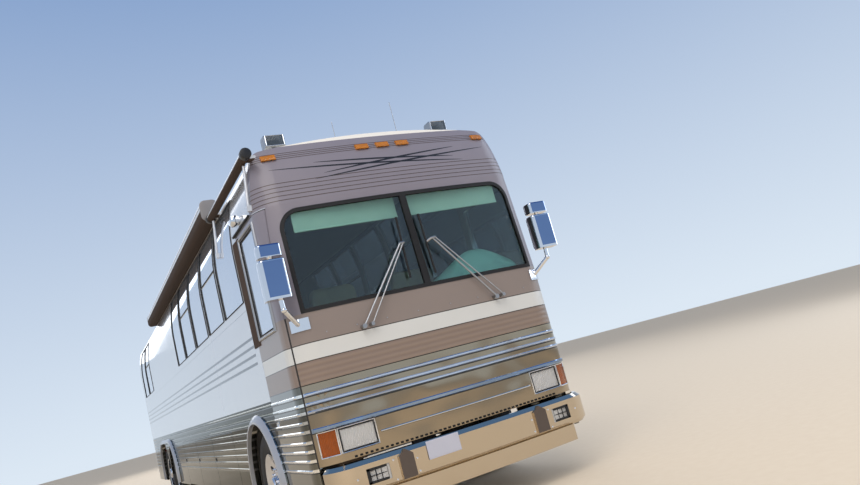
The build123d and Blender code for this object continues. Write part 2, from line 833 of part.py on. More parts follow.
# Drive axle housing: (distance off the middle, radius)
drive_housing = [
    (-300, 0),
    (-300, 90),
    (-240, 110),
    (-130, 205),
    (130, 205),
    (240, 110),
    (300, 90),
    (300, 0),
]
drive_bulb = Pos(0, drive_axle_y, hub_z) * revolve(Plane.XZ * outline(drive_housing), Axis.X, 360)
nodes["axles"] = group([
    steer_axle(),
    join(dead_axle(drive_axle_y, 95, drive_spindle_radius, dual_x + 95) + [drive_bulb]),
    join(dead_axle(tag_axle_y, 75, spindle_radius, outer_wheel_x + 60)),
])


# Knuckles: two lugs round the axle's end, the kingpin and the spindle
def knuckle(side):
    y = front_axle_y
    x = side * kingpin_x
    lugs = []
    inner_x = kingpin_x - 48
    outer_x = kingpin_x + 92
    for low in (62, -92):
        lug_low = (y - 48, hub_z + low)
        lugs.append(side_block(side, inner_x, outer_x, lug_low, (y + 48, hub_z + low + 30)))
    spine = side_block(side, outer_x - 26, outer_x, (y - 48, hub_z - 92), (y + 48, hub_z + 92))
    pin = rod((x, y, hub_z - 92), (x, y, hub_z + 92), kingpin_radius)
    spindle_tip = (side * (outer_wheel_x + 70), y, hub_z)
    spindle = rod((side * (kingpin_x + 80), y, hub_z), spindle_tip, spindle_radius)
    return join(lugs + [spine, pin, spindle])


nodes["knuckle_curb"] = knuckle(-1)
nodes["knuckle_street"] = knuckle(1)

# Tyre section: (distance out from the tyre's middle, radius)
tyre_section = [
    (-122, rim_radius),
    (-150, 390),
    (-146, 470),
    (-124, 512),
    (-90, tyre_radius),
    (90, tyre_radius),
    (124, 512),
    (146, 470),
    (150, 390),
    (122, rim_radius),
]

# Rim sections: (distance out from the tyre's middle, radius), drawn from the bore outwards
steer_rim = [
    (-30, spindle_radius + bore_play),
    (80, spindle_radius + bore_play),
    (80, 0),
    (165, 0),
    (165, 62),
    (150, 78),
    (108, 84),
    (108, 122),
    (92, 170),
    (110, 232),
    (132, 276),
    (143, 304),
    (131, 304),
    (124, rim_radius),
    (-124, rim_radius),
    (-131, 304),
    (-143, 304),
    (-140, 282),
    (60, 274),
    (76, 236),
    (64, 168),
    (60, 120),
    (-30, 110),
]
drive_rim = [
    (-150, drive_spindle_radius + bore_play),
    (100, drive_spindle_radius + bore_play),
    (100, 0),
    (215, 0),
    (215, 95),
    (190, 112),
    (16, 125),
    (16, 240),
    (60, 282),
    (308, 282),
    (313, 304),
    (301, 304),
    (294, rim_radius),
    (46, rim_radius),
    (24, 274),
    (-24, 274),
    (-46, rim_radius),
    (-294, rim_radius),
    (-301, 304),
    (-313, 304),
    (-308, 282),
    (-60, 282),
    (-16, 240),
    (-16, 120),
    (-150, 112),
]
tag_rim = [
    (-130, spindle_radius + bore_play),
    (80, spindle_radius + bore_play),
    (80, 0),
    (150, 0),
    (150, 84),
    (132, 100),
    (-40, 118),
    (-48, 240),
    (-20, 282),
    (138, 282),
    (143, 304),
    (131, 304),
    (124, rim_radius),
    (-124, rim_radius),
    (-131, 304),
    (-143, 304),
    (-138, 282),
    (-52, 278),
    (-80, 240),
    (-72, 118),
    (-130, 110),
]


def turned(section, side, x, y):
    # A round piece about an axle line, drawn as distance and radius from the tyre's middle.
    face = Plane.XZ * outline([(side * t, r) for t, r in section])
    body = revolve(face, Axis.X, 360)
    return Pos(side * x, y, hub_z) * body


def rim(section, side, x, y, low, high):
    body = turned(section, side, x, y)
    for number in range(hand_holes):
        angle = radians(360 / hand_holes * number)
        hole_y = y + hand_hole_circle * cos(angle)
        hole_z = hub_z + hand_hole_circle * sin(angle)
        start = (side * (x + low), hole_y, hole_z)
        body = body - rod(start, (side * (x + high), hole_y, hole_z), hand_hole_radius)
    return body


for side, word in ((-1, "curb"), (1, "street")):
    nodes[f"front_rim_{word}"] = rim(steer_rim, side, outer_wheel_x, front_axle_y, 40, 160)
    nodes[f"front_tyre_{word}"] = turned(tyre_section, side, outer_wheel_x, front_axle_y)
    nodes[f"drive_rims_{word}"] = rim(drive_rim, side, dual_x, drive_axle_y, -30, 30)
    nodes[f"drive_tyres_{word}"] = group([
        turned(tyre_section, side, dual_x + shift, drive_axle_y)
        for shift in (-dual_spacing / 2, dual_spacing / 2)
    ])
    nodes[f"tag_rim_{word}"] = rim(tag_rim, side, outer_wheel_x, tag_axle_y, -100, 0)
    nodes[f"tag_tyre_{word}"] = turned(tyre_section, side, outer_wheel_x, tag_axle_y)

# Cab: dashboard with the steering column and wheel, and two seats on pedestals
floor_top = floor_z + floor_thick
dash_points = [
    (station(115), floor_top),
    (station(560), floor_top),
    (station(520), 1560),
    (station(640), 1760),
    (station(600), 1850),
    (station(330), 1895),
    (station(115), 1870),
]
dash = extrude(Plane.YZ * outline(dash_points), 1650)
dash = Pos(-480, 0, 0) * dash
dash = dash & prism(wall + 1, 0, far)
wheel_centre = Vector(650, station(760), 1905)
column = rod((650, station(500), 1700), (650, station(760), 1905), 28)
wheel_plane = Plane(origin=wheel_centre, z_dir=(0, 0.55, 0.84))
wheel_rim_ring = wheel_plane * Torus(225, 16)
spokes = [wheel_plane * Box(440, 34, 14), wheel_plane * Box(34, 440, 14)]
nodes["dashboard"] = join([dash, column, wheel_rim_ring] + spokes)


def seat(x, y):
    pedestal = block((x - 170, y - 170, floor_top), (x + 170, y + 170, floor_top + 330))
    cushion = block((x - 270, y - 280, floor_top + 330), (x + 270, y + 250, floor_top + 470))
    back = Pos(x, y + 250, floor_top + 420) * (Rot(-12, 0, 0) * block((-260, -20, 0), (260, 110, 760)))
    arms = []
    for arm_x in (x - 300, x + 300):
        arm_low = (arm_x - 35, y - 200, floor_top + 560)
        foot_low = (arm_x - 35, y + 120, floor_top + 400)
        arms.append(block(arm_low, (arm_x + 35, y + 230, floor_top + 640)))
        arms.append(block(foot_low, (arm_x + 35, y + 230, floor_top + 600)))
    link = block((x - 320, y + 120, floor_top + 400), (x + 320, y + 200, floor_top + 440))
    return join([pedestal, cushion, back, link] + arms)


nodes["seats"] = group([seat(650, station(1330)), seat(-250, station(1450))])


if __name__ == "__main__":
    os.makedirs("parts", exist_ok=True)
    for name, shape in nodes.items():
        export_step(shape, f"parts/{name}.step")
        print(name, len(shape.solids()), round(shape.volume / 1e6, 2), shape.is_valid)
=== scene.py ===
import bpy
import math
from mathutils import Matrix, Vector


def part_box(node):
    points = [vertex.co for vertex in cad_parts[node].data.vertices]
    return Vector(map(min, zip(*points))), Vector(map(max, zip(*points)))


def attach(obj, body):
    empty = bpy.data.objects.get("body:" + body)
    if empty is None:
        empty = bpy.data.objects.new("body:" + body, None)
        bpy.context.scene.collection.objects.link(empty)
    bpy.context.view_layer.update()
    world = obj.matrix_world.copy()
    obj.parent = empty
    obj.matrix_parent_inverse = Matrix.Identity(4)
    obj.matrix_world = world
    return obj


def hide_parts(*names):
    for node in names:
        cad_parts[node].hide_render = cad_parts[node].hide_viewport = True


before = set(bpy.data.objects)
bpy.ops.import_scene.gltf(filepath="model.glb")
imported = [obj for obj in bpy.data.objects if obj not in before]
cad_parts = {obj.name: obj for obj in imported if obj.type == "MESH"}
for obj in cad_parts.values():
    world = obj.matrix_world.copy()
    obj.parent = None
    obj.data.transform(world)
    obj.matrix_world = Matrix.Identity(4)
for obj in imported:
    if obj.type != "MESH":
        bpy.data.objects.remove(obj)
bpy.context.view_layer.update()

print("frame loaded:", len(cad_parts), "nodes")


# Working tools

def linearColour(hexCode, alpha=1.0):
    channels = [int(hexCode[i:i + 2], 16) / 255 for i in (0, 2, 4)]
    linear = [c / 12.92 if c <= 0.04045 else ((c + 0.055) / 1.055) ** 2.4 for c in channels]
    return (*linear, alpha)


def addNode(tree, kind, inputs=(), output=0, **settings):
    # inputs come in order or by name: a socket, a number or a hex colour.
    # It gives the output asked for, or with None all of them.
    node = tree.nodes.new("ShaderNode" + kind)
    for name, value in settings.items():
        setattr(node, name, value)
    for socket, value in inputs.items() if isinstance(inputs, dict) else enumerate(inputs):
        if isinstance(value, bpy.types.NodeSocket):
            tree.links.new(value, node.inputs[socket])
        else:
            node.inputs[socket].default_value = linearColour(value) if isinstance(value, str) else value
    return node.outputs if output is None else node.outputs[output]


def startMaterial(name, colour, metallic=0.0, roughness=0.4, **others):
    # a shader with its plain values, and the place on the vehicle that patterns are worked out from
    material = bpy.data.materials.new(name)
    material.use_nodes = True
    tree = material.node_tree
    values = {"Base Color": linearColour(colour), "Metallic": metallic, "Roughness": roughness, **others}
    for socket, value in values.items():
        tree.nodes["Principled BSDF"].inputs[socket].default_value = value
    return material, tree, addNode(tree, "TexCoord", output="Object")


def wireShader(tree, sockets, relief=None, depth=0.0, strength=0.5):
    # hooks a finish's patterns to its shader, and its relief as a bump so many metres deep
    shader = tree.nodes["Principled BSDF"]
    if relief:
        normal = addNode(tree, "Bump", {"Height": relief, "Distance": depth, "Strength": strength})
        sockets = {**sockets, "Normal": normal}
    for name, value in sockets.items():
        tree.links.new(value, shader.inputs[name])


def deselectAll():
    if bpy.context.object and bpy.context.object.mode != "OBJECT":
        bpy.ops.object.mode_set(mode="OBJECT")
    bpy.ops.object.select_all(action="DESELECT")


def activate(piece):
    deselectAll()
    piece.select_set(True)
    bpy.context.view_layer.objects.active = piece


def selectFaces(piece, test):
    # faces picked by their place or normal, then edit mode is opened on them
    activate(piece)
    bpy.ops.object.mode_set(mode="EDIT")
    bpy.ops.mesh.select_mode(type="FACE")
    bpy.ops.mesh.select_all(action="DESELECT")
    bpy.ops.object.mode_set(mode="OBJECT")
    for face in piece.data.polygons:
        face.select = test(face)
    bpy.ops.object.mode_set(mode="EDIT")


def applyPlace():
    bpy.ops.object.transform_apply(location=True, rotation=True, scale=True)


def addBevel(piece, width, segments=2):
    modifier = piece.modifiers.new("edges", "BEVEL")
    modifier.width = width
    modifier.segments = segments
    modifier.limit_method = "ANGLE"
    activate(piece)
    bpy.ops.object.modifier_apply(modifier=modifier.name)


def joinPieces(pieces):
    activate(pieces[0])
    for piece in pieces[1:]:
        piece.select_set(True)
    if len(pieces) > 1:
        bpy.ops.object.join()
    return bpy.context.view_layer.objects.active


def finishPiece(parts, name, body, finish, slot, smoothAngle=35):
    # its parts become one piece, with its place in its mesh, its finish and the body that it rides on
    piece = joinPieces(parts)
    applyPlace()
    bpy.ops.object.shade_smooth_by_angle(angle=math.radians(smoothAngle))
    piece.name = name
    piece.data.name = name
    piece.data.materials.clear()
    piece.data.materials.append(finishes[finish])
    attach(piece, body)
    return piece


def setOut(piece, places):
    # what repeats is modelled once, then set out, each copy with its own mesh
    copies = [piece]
    for place in places[1:]:
        twin = piece.copy()
        twin.data = piece.data.copy()
        bpy.context.collection.objects.link(twin)
        twin.location = place
        copies.append(twin)
    piece.location = places[0]
    return copies


def softBlock(low, high, bevel=0.002, segments=2):
    low, high = Vector(low), Vector(high)
    deselectAll()
    bpy.ops.mesh.primitive_cube_add(size=1, location=(low + high) / 2)
    block = bpy.context.object
    block.scale = high - low
    applyPlace()
    addBevel(block, bevel, segments)
    return block


def roundBar(start, end, radius, sides=20, bevel=0.0015):
    start, end = Vector(start), Vector(end)
    deselectAll()
    bpy.ops.mesh.primitive_cylinder_add(
        vertices=sides, radius=radius, depth=(end - start).length, location=(start + end) / 2)
    bar = bpy.context.object
    bar.rotation_mode = "QUATERNION"
    bar.rotation_quaternion = (end - start).to_track_quat("Z", "Y")
    applyPlace()
    addBevel(bar, bevel)
    return bar


def beadAlong(points, radius, closed=False, sides=2):
    # a round bead drawn on a path of straight or curved runs
    deselectAll()
    bpy.ops.curve.primitive_nurbs_path_add()
    bead = bpy.context.object
    bead.location = (0, 0, 0)
    bead.data.splines.clear()
    spline = bead.data.splines.new("POLY")
    spline.points.add(len(points) - 1)
    for spot, point in zip(spline.points, points):
        spot.co = (*point, 1)
    spline.use_cyclic_u = closed
    bead.data.dimensions = "3D"
    bead.data.bevel_depth = radius
    bead.data.bevel_resolution = sides
    bead.data.use_fill_caps = not closed
    activate(bead)
    bpy.ops.object.convert(target="MESH")
    return bpy.context.object


# Form of the shell, as the frame has it

shell = {
    "halfWidth": 1.295,
    "noseRadius": 9.0,
    "cornerRadius": 0.26,
    "noseY": -6.71,
    "tailY": 6.765,
    "bumperProud": 0.15,
    "tumbleFoot": 2.70,
    "eavesX": 1.18,
    "eavesZ": 3.395,
    # how far back the nose leans at each height
    "leans": [
        (0.0, 0.0), (1.905, 0.0), (2.856, 0.064), (3.0, 0.092), (3.22, 0.16), (3.40, 0.25), (3.56, 0.38)],
}


def leanAt(z):
    for (lowZ, lowLean), (highZ, highLean) in zip(shell["leans"], shell["leans"][1:]):
        if z <= highZ:
            return lowLean + (highLean - lowLean) * (z - lowZ) / (highZ - lowZ)
    return shell["leans"][-1][1]


def bowAt(x):
    # how far back the long bow of the nose and bumper has come at a place across
    return shell["noseRadius"] - math.sqrt(shell["noseRadius"] ** 2 - x ** 2)


def frontY(x, z, proud=0.0):
    # how far forward the nose lies at a place across and up
    radius = shell["cornerRadius"]
    reach = shell["noseRadius"] - radius
    centreX = shell["halfWidth"] - radius
    centreY = shell["noseRadius"] - math.sqrt(reach ** 2 - centreX ** 2)
    if abs(x) <= centreX * shell["noseRadius"] / reach:
        bow = bowAt(x)
    else:
        bow = centreY - math.sqrt(max(radius ** 2 - (abs(x) - centreX) ** 2, 0))
    return shell["noseY"] + leanAt(z) + bow - proud


def bumperY(x):
    return shell["noseY"] - shell["bumperProud"] + bowAt(x)


def sideX(z, proud=0.0):
    # half the width of the shell at a height: plumb below, leaning in above
    if z <= shell["tumbleFoot"]:
        return shell["halfWidth"] + proud
    lean = shell["halfWidth"] - shell["eavesX"]
    drop = shell["eavesZ"] - shell["tumbleFoot"]
    radius = (lean ** 2 + drop ** 2) / (2 * lean)
    rise = z - shell["tumbleFoot"]
    return shell["halfWidth"] - radius + math.sqrt(radius ** 2 - rise ** 2) + proud


def behind(distance):
    # a place along the vehicle, measured back from the windshield's foot
    return shell["noseY"] + distance


def rowAcross(z, halfSpan, proud, steps=28):
    # points along one level line round the nose
    spots = [halfSpan * (2 * i / steps - 1) for i in range(steps + 1)]
    return [(x, frontY(x, z, proud), z) for x in spots]


# Materials: masks and colours that the painted finishes share

bands = {
    "enamelLevels": [1.345, 1.525, 1.665],  # foot of the brown band, then foot and head of the white one
    "capFoot": 1.905,
    "top": 4.0,  # above everything
    "lineHalf": 0.0035,
    "sideRibs": [0.679, 0.757, 0.832, 0.903, 0.987, 1.059, 1.132, 1.197, 1.272],
    "noseRibs": [1.132, 1.197, 1.272],
    "ribHalf": 0.012,
    # how far the painted shade line under each moulding reaches
    "underShadeDrop": 0.011,
}


def bandMask(tree, value, low, high):
    # one where the value lies between two levels
    above = addNode(tree, "Math", [value, low], operation="GREATER_THAN")
    below = addNode(tree, "Math", [value, high], operation="LESS_THAN")
    return addNode(tree, "Math", [above, below], operation="MULTIPLY")


def joinMasks(tree, masks):
    total = masks[0]
    for mask in masks[1:]:
        total = addNode(tree, "Math", [total, mask], operation="MAXIMUM")
    return total


def linesMask(tree, height, levels, half):
    # one on level lines, each half a line's width above and below its height
    return joinMasks(tree, [bandMask(tree, height, z - half, z + half) for z in levels])


def layColours(tree, colour, layers):
    # coats laid in turn over the first colour, each where its mask is one
    for mask, coat in layers:
        colour = addNode(tree, "Mix", {0: mask, 6: colour, 7: coat}, 2, data_type="RGBA")
    return colour


def steelTones(tree, height, levels, finish):
    # polished sheet whose mouldings are painted brighter as a painted highlight, with a dark line of painted
    # shade under each
    half, drop = bands["ribHalf"], bands["underShadeDrop"]
    ribs = linesMask(tree, height, levels, half)
    paintedUnderShade = joinMasks(tree, [bandMask(tree, height, z - half - drop, z - half) for z in levels])
    return layColours(tree, finish["steel"], [(ribs, finish["ribHighlight"]), (paintedUnderShade, finish["ribShade"])]), paintedUnderShade


def coverMetal(tree, mask, metallic, roughness):
    # bare metal where the mask is nought, and what covers it where the mask is one
    return {
        "Metallic": addNode(tree, "MapRange", [mask, 0.0, 1.0, *metallic]),
        "Roughness": addNode(tree, "MapRange", [mask, 0.0, 1.0, *roughness]),
    }


def strokeMask(tree, split, start, end, halfWidth):
    # a brush stroke between two places on the cap, widest at its middle and pointed at both ends
    along = addNode(tree, "MapRange", [split["X"], start[0], end[0], 0.0, 1.0], clamp=True)
    slope = (end[1] - start[1]) / (end[0] - start[0])
    line = addNode(tree, "Math", [split["X"], slope, start[1] - slope * start[0]], operation="MULTIPLY_ADD")
    away = addNode(tree, "Math", [split["Z"], line], operation="SUBTRACT")
    away = addNode(tree, "Math", [away], operation="ABSOLUTE")
    turn = addNode(tree, "Math", [along, math.pi], operation="MULTIPLY")
    swell = addNode(tree, "Math", [turn], operation="SINE")
    swell = addNode(tree, "Math", [swell, 0.5], operation="POWER")
    width = addNode(tree, "Math", [swell, halfWidth], operation="MULTIPLY")
    return addNode(tree, "Math", [away, width], operation="LESS_THAN")


# Materials: the painted and polished body

capFinish = {
    "enamel": "827e8b",
    "enamelShade": "75727f",
    "mottleScale": 3.0,
    "mottleShare": 0.25,
    "roofWhite": "eceae6",
    "roofEdge": 3.425,
    "groove": "4a3d38",
    "grooves": [2.885, 2.925, 2.965, 3.005, 3.045, 3.287, 3.307, 3.327, 3.347],
    "grooveDepth": 0.002,
    "stroke": "07080d",
    "strokes": [
        ((-1.10, 3.185), (0.78, 3.065)),
        ((-0.70, 3.205), (0.69, 3.115)),
        ((-0.74, 3.035), (1.08, 3.19)),
        ((-0.64, 3.085), (0.74, 3.22)),
    ],
    "strokeHalf": 0.0085,
}


def makeCapPaint():
    # acrylic enamel on moulded plastic: a soft lilac-taupe with a thin clear shine over it
    material, tree, place = startMaterial(
        "glossTaupeEnamel", capFinish["enamel"], roughness=0.5,
        **{"Coat Weight": 0.2, "Coat Roughness": 0.08})
    split = addNode(tree, "SeparateXYZ", [place], None)
    grooves = linesMask(tree, split["Z"], capFinish["grooves"], bands["lineHalf"])
    strokes = joinMasks(tree, [
        strokeMask(tree, split, start, end, capFinish["strokeHalf"]) for start, end in capFinish["strokes"]])
    mottle = addNode(tree, "TexNoise", {"Vector": place, "Scale": capFinish["mottleScale"], "Detail": 3.0})
    shade = addNode(tree, "MapRange", [mottle, 0.3, 0.7, 0.0, capFinish["mottleShare"]])
    colour = layColours(tree, capFinish["enamel"], [
        (shade, capFinish["enamelShade"]),
        (grooves, capFinish["groove"]),
        (strokes, capFinish["stroke"]),
        (bandMask(tree, split["Z"], capFinish["roofEdge"], bands["top"]), capFinish["roofWhite"]),
    ])
    sunk = addNode(tree, "Math", [1.0, grooves], operation="SUBTRACT")
    wireShader(tree, {"Base Color": colour}, sunk, capFinish["grooveDepth"], 0.6)
    return material


frontFinish = {
    "taupe": "8a7f7b",
    "white": "d3d6d8",
    "brown": "83736a",
    # lighter tone on the ridge crests: a painted highlight
    "brownRidgeHighlight": "a89688",
    "ridgePitch": 0.045,
    "ridgeRelief": 0.04,
    "line": "241f1c",
    # the steel's warm tan is a painted reflection, the average tone of what the polished nose mirrors
    "steel": "a59884",
    # the mouldings' bright colour is a painted highlight, and the dark line under them is painted shade
    "ribHighlight": "cdd3df",
    "ribShade": "33312d",
    # the brow bar's pale blue is a painted sky reflection, and the dark line under it is painted shade
    "brow": "9fb4cf",
    "browLevels": (0.967, 1.001),
    "browShadeLine": 0.009,
    "seamY": -6.534,
    "waveScale": 2.6,
    "waveDepth": 0.022,
}


def makeFrontPaint():
    # one pressed front: polished stainless below, bands of enamel above
    material, tree, place = startMaterial("polishedStainlessBanded", frontFinish["steel"])
    split = addNode(tree, "SeparateXYZ", [place], None)
    height = split["Z"]
    brownFoot, whiteFoot, whiteHead = bands["enamelLevels"]
    brown = bandMask(tree, height, brownFoot, whiteFoot)
    # each ridge crest is painted lighter than the brown, a painted highlight that follows the ridges' relief
    turns = addNode(tree, "Math", [height, 2 * math.pi / frontFinish["ridgePitch"]], operation="MULTIPLY")
    ridge = addNode(tree, "Math", [turns], operation="SINE")
    shade = addNode(tree, "MapRange", [ridge, -1.0, 1.0, 0.0, 0.25])
    brownWithRidgeHighlights = layColours(tree, frontFinish["brown"], [(shade, frontFinish["brownRidgeHighlight"])])
    steel, paintedUnderShade = steelTones(tree, height, bands["noseRibs"], frontFinish)
    # the bar is coloured as a painted sky reflection, with a line of painted shade under it
    browFoot, browHead = frontFinish["browLevels"]
    browShadeLine = bandMask(tree, height, browFoot - frontFinish["browShadeLine"], browFoot)
    # the black weather seal where the front meets the entry door
    seamed = addNode(tree, "Math", [split["Y"], frontFinish["seamY"]], operation="GREATER_THAN")
    curb = addNode(tree, "Math", [split["X"], 0.0], operation="LESS_THAN")
    seal = addNode(tree, "Math", [seamed, curb], operation="MULTIPLY")
    colour = layColours(tree, steel, [
        (bandMask(tree, height, browFoot, browHead), frontFinish["brow"]),
        (browShadeLine, frontFinish["line"]),
        (bandMask(tree, height, whiteHead, bands["top"]), frontFinish["taupe"]),
        (bandMask(tree, height, whiteFoot, whiteHead), frontFinish["white"]),
        (brown, brownWithRidgeHighlights),
        (linesMask(tree, height, bands["enamelLevels"], bands["lineHalf"]), frontFinish["line"]),
        (seal, frontFinish["line"]),
    ])
    painted = bandMask(tree, height, brownFoot, bands["top"])
    cover = coverMetal(tree, joinMasks(tree, [painted, seal, paintedUnderShade, browShadeLine]), (1.0, 0.0), (0.11, 0.3))
    # sheet metal is never quite flat: long waves about 0.4 m across bend what it mirrors
    waves = addNode(tree, "TexNoise", {"Vector": place, "Scale": frontFinish["waveScale"], "Detail": 1.0})
    ridged = addNode(tree, "Math", [ridge, brown], operation="MULTIPLY")
    relief = addNode(tree, "Math", [ridged, frontFinish["ridgeRelief"], waves], operation="MULTIPLY_ADD")
    wireShader(tree, {"Base Color": colour, **cover}, relief, frontFinish["waveDepth"])
    return material


sideFinish = {
    "silver": "cfd5de",
    # the steel's dark olive tone is a painted reflection of dark surroundings
    "steel": "6f6e66",
    "edge": "76766a",
    # the mouldings' bright colour is a painted highlight, and the dark line under them is painted shade
    "ribHighlight": "efeeea",
    "ribShade": "24241f",
    "steelHead": 1.305,
    "stripe": "17181b",
    "stripes": [1.68, 1.76, 1.84, 1.92],
    "stripeHalf": 0.013,
    "stripeFront": -5.45,
    "belt": 2.187,
    "beltHalf": 0.002,
    "flare": "a9adb6",
    "flareX": 1.306,
    "flareRough": 0.2,
    "waveScale": 1.8,
    "waveDepth": 0.008,
}


def makeSidePaint(name, steelHead):
    # silver-white enamel above and polished stainless below, with four dark stripes between
    material, tree, place = startMaterial(
        name, sideFinish["silver"], **{"Coat Weight": 0.6, "Coat Roughness": 0.05})
    split = addNode(tree, "SeparateXYZ", [place], None)
    height = split["Z"]
    painted = bandMask(tree, height, steelHead, bands["top"])
    stripes = linesMask(tree, height, sideFinish["stripes"], sideFinish["stripeHalf"])
    rearward = addNode(tree, "Math", [split["Y"], sideFinish["stripeFront"]], operation="GREATER_THAN")
    stripes = addNode(tree, "Math", [stripes, rearward], operation="MULTIPLY")
    belt = linesMask(tree, height, [sideFinish["belt"]], sideFinish["beltHalf"])
    # the bands over the wheels stand proud of the wall and are enamelled satin silver
    across = addNode(tree, "Math", [split["X"]], operation="ABSOLUTE")
    flare = addNode(tree, "Math", [across, sideFinish["flareX"]], operation="GREATER_THAN")
    steel, paintedUnderShade = steelTones(tree, height, bands["sideRibs"], sideFinish)
    colour = layColours(tree, steel, [
        (painted, sideFinish["silver"]),
        (joinMasks(tree, [stripes, belt]), sideFinish["stripe"]),
        (flare, sideFinish["flare"]),
    ])
    cover = coverMetal(tree, joinMasks(tree, [painted, flare, paintedUnderShade]), (1.0, 0.35), (0.06, 0.16))
    cover["Roughness"] = addNode(
        tree, "Math", [flare, sideFinish["flareRough"], cover["Roughness"]], operation="MULTIPLY_ADD")
    # seen edge on, the steel keeps its grey instead of turning to a white mirror
    edge = layColours(tree, sideFinish["edge"], [(joinMasks(tree, [painted, flare]), "ffffff")])
    waves = addNode(tree, "TexNoise", {"Vector": place, "Scale": sideFinish["waveScale"], "Detail": 1.0})
    wireShader(
        tree, {"Base Color": colour, "Specular Tint": edge, **cover}, waves, sideFinish["waveDepth"], 0.4)
    return material


def makeDoorPaint():
    # the front's enamel bands carried round onto the entry door, over polished stainless
    material, tree, place = startMaterial(
        "taupeEnamelOverStainless", frontFinish["taupe"], **{"Coat Weight": 0.45, "Coat Roughness": 0.03})
    height = addNode(tree, "SeparateXYZ", [place], "Z")
    steel, paintedUnderShade = steelTones(tree, height, bands["sideRibs"], sideFinish)
    levels = [*bands["enamelLevels"], bands["capFoot"], bands["top"]]
    coats = [frontFinish["brown"], frontFinish["white"], frontFinish["taupe"], capFinish["enamel"]]
    layers = [
        (bandMask(tree, height, foot, head), coat) for foot, head, coat in zip(levels, levels[1:], coats)]
    lines = linesMask(tree, height, bands["enamelLevels"], bands["lineHalf"])
    colour = layColours(tree, steel, [*layers, (lines, frontFinish["line"])])
    painted = bandMask(tree, height, levels[0], bands["top"])
    cover = coverMetal(tree, joinMasks(tree, [painted, paintedUnderShade]), (1.0, 0.0), (0.06, 0.3))
    waves = addNode(tree, "TexNoise", {"Vector": place, "Scale": sideFinish["waveScale"], "Detail": 1.0})
    wireShader(tree, {"Base Color": colour, **cover}, waves, sideFinish["waveDepth"], 0.4)
    return material


bumperFinish = {
    "steel": "c8bba8",
    "guard": "554a43",
    "guardX": (0.589, 0.713),
    "guardY": -6.845,
    "waveScale": 3.0,
    "waveDepth": 0.02,
}


def makeBumperSteel():
    # mirror chrome on pressed steel, with matt brown rubber on the faces of the two guards
    material, tree, place = startMaterial(
        "mirrorChromedSteel", bumperFinish["steel"], metallic=1.0, roughness=0.08)
    split = addNode(tree, "SeparateXYZ", [place], None)
    across = addNode(tree, "Math", [split["X"]], operation="ABSOLUTE")
    inward = bandMask(tree, across, *bumperFinish["guardX"])
    proud = addNode(tree, "Math", [split["Y"], bumperFinish["guardY"]], operation="LESS_THAN")
    guard = addNode(tree, "Math", [inward, proud], operation="MULTIPLY")
    colour = layColours(tree, bumperFinish["steel"], [(guard, bumperFinish["guard"])])
    cover = coverMetal(tree, guard, (1.0, 0.0), (0.08, 0.6))
    waves = addNode(tree, "TexNoise", {"Vector": place, "Scale": bumperFinish["waveScale"], "Detail": 2.0})
    wireShader(tree, {"Base Color": colour, **cover}, waves, bumperFinish["waveDepth"])
    return material


housingFinish = {
    # deep blue on the flats: a painted sky reflection
    "flat": "7088b0",
    "rim": "e0e2e6",
    "centre": 1.322,
    "half": 0.080,
    "shells": [(2.06, 2.350), (2.392, 2.49)],
}


def makeHousingChrome():
    # chromed pressings: the flat of each shell is painted deep sky blue, a painted reflection of the sky,
    # inside its bright rolled rim
    material, tree, place = startMaterial(
        "polishedChromeHousing", housingFinish["rim"], metallic=1.0, roughness=0.05)
    split = addNode(tree, "SeparateXYZ", [place], None)
    across = addNode(tree, "Math", [split["X"]], operation="ABSOLUTE")
    away = addNode(tree, "Math", [across, housingFinish["centre"]], operation="SUBTRACT")
    inward = bandMask(tree, away, -housingFinish["half"], housingFinish["half"])
    shells = joinMasks(tree, [bandMask(tree, split["Z"], *levels) for levels in housingFinish["shells"]])
    flat = addNode(tree, "Math", [inward, shells], operation="MULTIPLY")
    colour = layColours(tree, housingFinish["rim"], [(flat, housingFinish["flat"])])
    waves = addNode(tree, "TexNoise", {"Vector": place, "Scale": 3.0, "Detail": 2.0})
    wireShader(tree, {"Base Color": colour}, waves, 0.006)
    return material


# Materials: metals, plastics, glass and cloth

def makeWavedMetal(name, colour, roughness, waveScale, waveDepth):
    # polished sheet metal: a clean mirror, slightly bent by long shallow waves
    material, tree, place = startMaterial(name, colour, metallic=1.0, roughness=roughness)
    waves = addNode(tree, "TexNoise", {"Vector": place, "Scale": waveScale, "Detail": 2.0})
    wireShader(tree, {}, waves, waveDepth)
    return material


def makeGrainedPlastic(name, colour, second, roughness, grain=0.0012):
    # moulded plastic with a fine spark-eroded grain, drawn about 1 mm coarse so that it shows
    material, tree, place = startMaterial(name, colour, roughness=roughness)
    spots = addNode(tree, "TexNoise", {"Vector": place, "Scale": 0.5 / grain, "Detail": 2.0})
    cloud = addNode(tree, "TexNoise", {"Vector": place, "Scale": 5.0, "Detail": 3.0})
    wireShader(tree, {"Base Color": layColours(tree, colour, [(cloud, second)])}, spots, grain * 0.3)
    return material


def makeGlass(name, colour, roughness=0.01, transmission=1.0):
    # laminated float glass: clear and hard, its tint deepening with thickness
    material, tree, place = startMaterial(
        name, colour, roughness=roughness, **{"Transmission Weight": transmission, "IOR": 1.5})
    ripple = addNode(tree, "TexNoise", {"Vector": place, "Scale": 1.2, "Detail": 1.0})
    wireShader(tree, {}, ripple, 0.0012, 0.3)
    return material


filmFinish = {"clear": "dbe7f8", "deep": "cddbf0", "rippleScale": 0.9, "rippleDepth": 0.006}


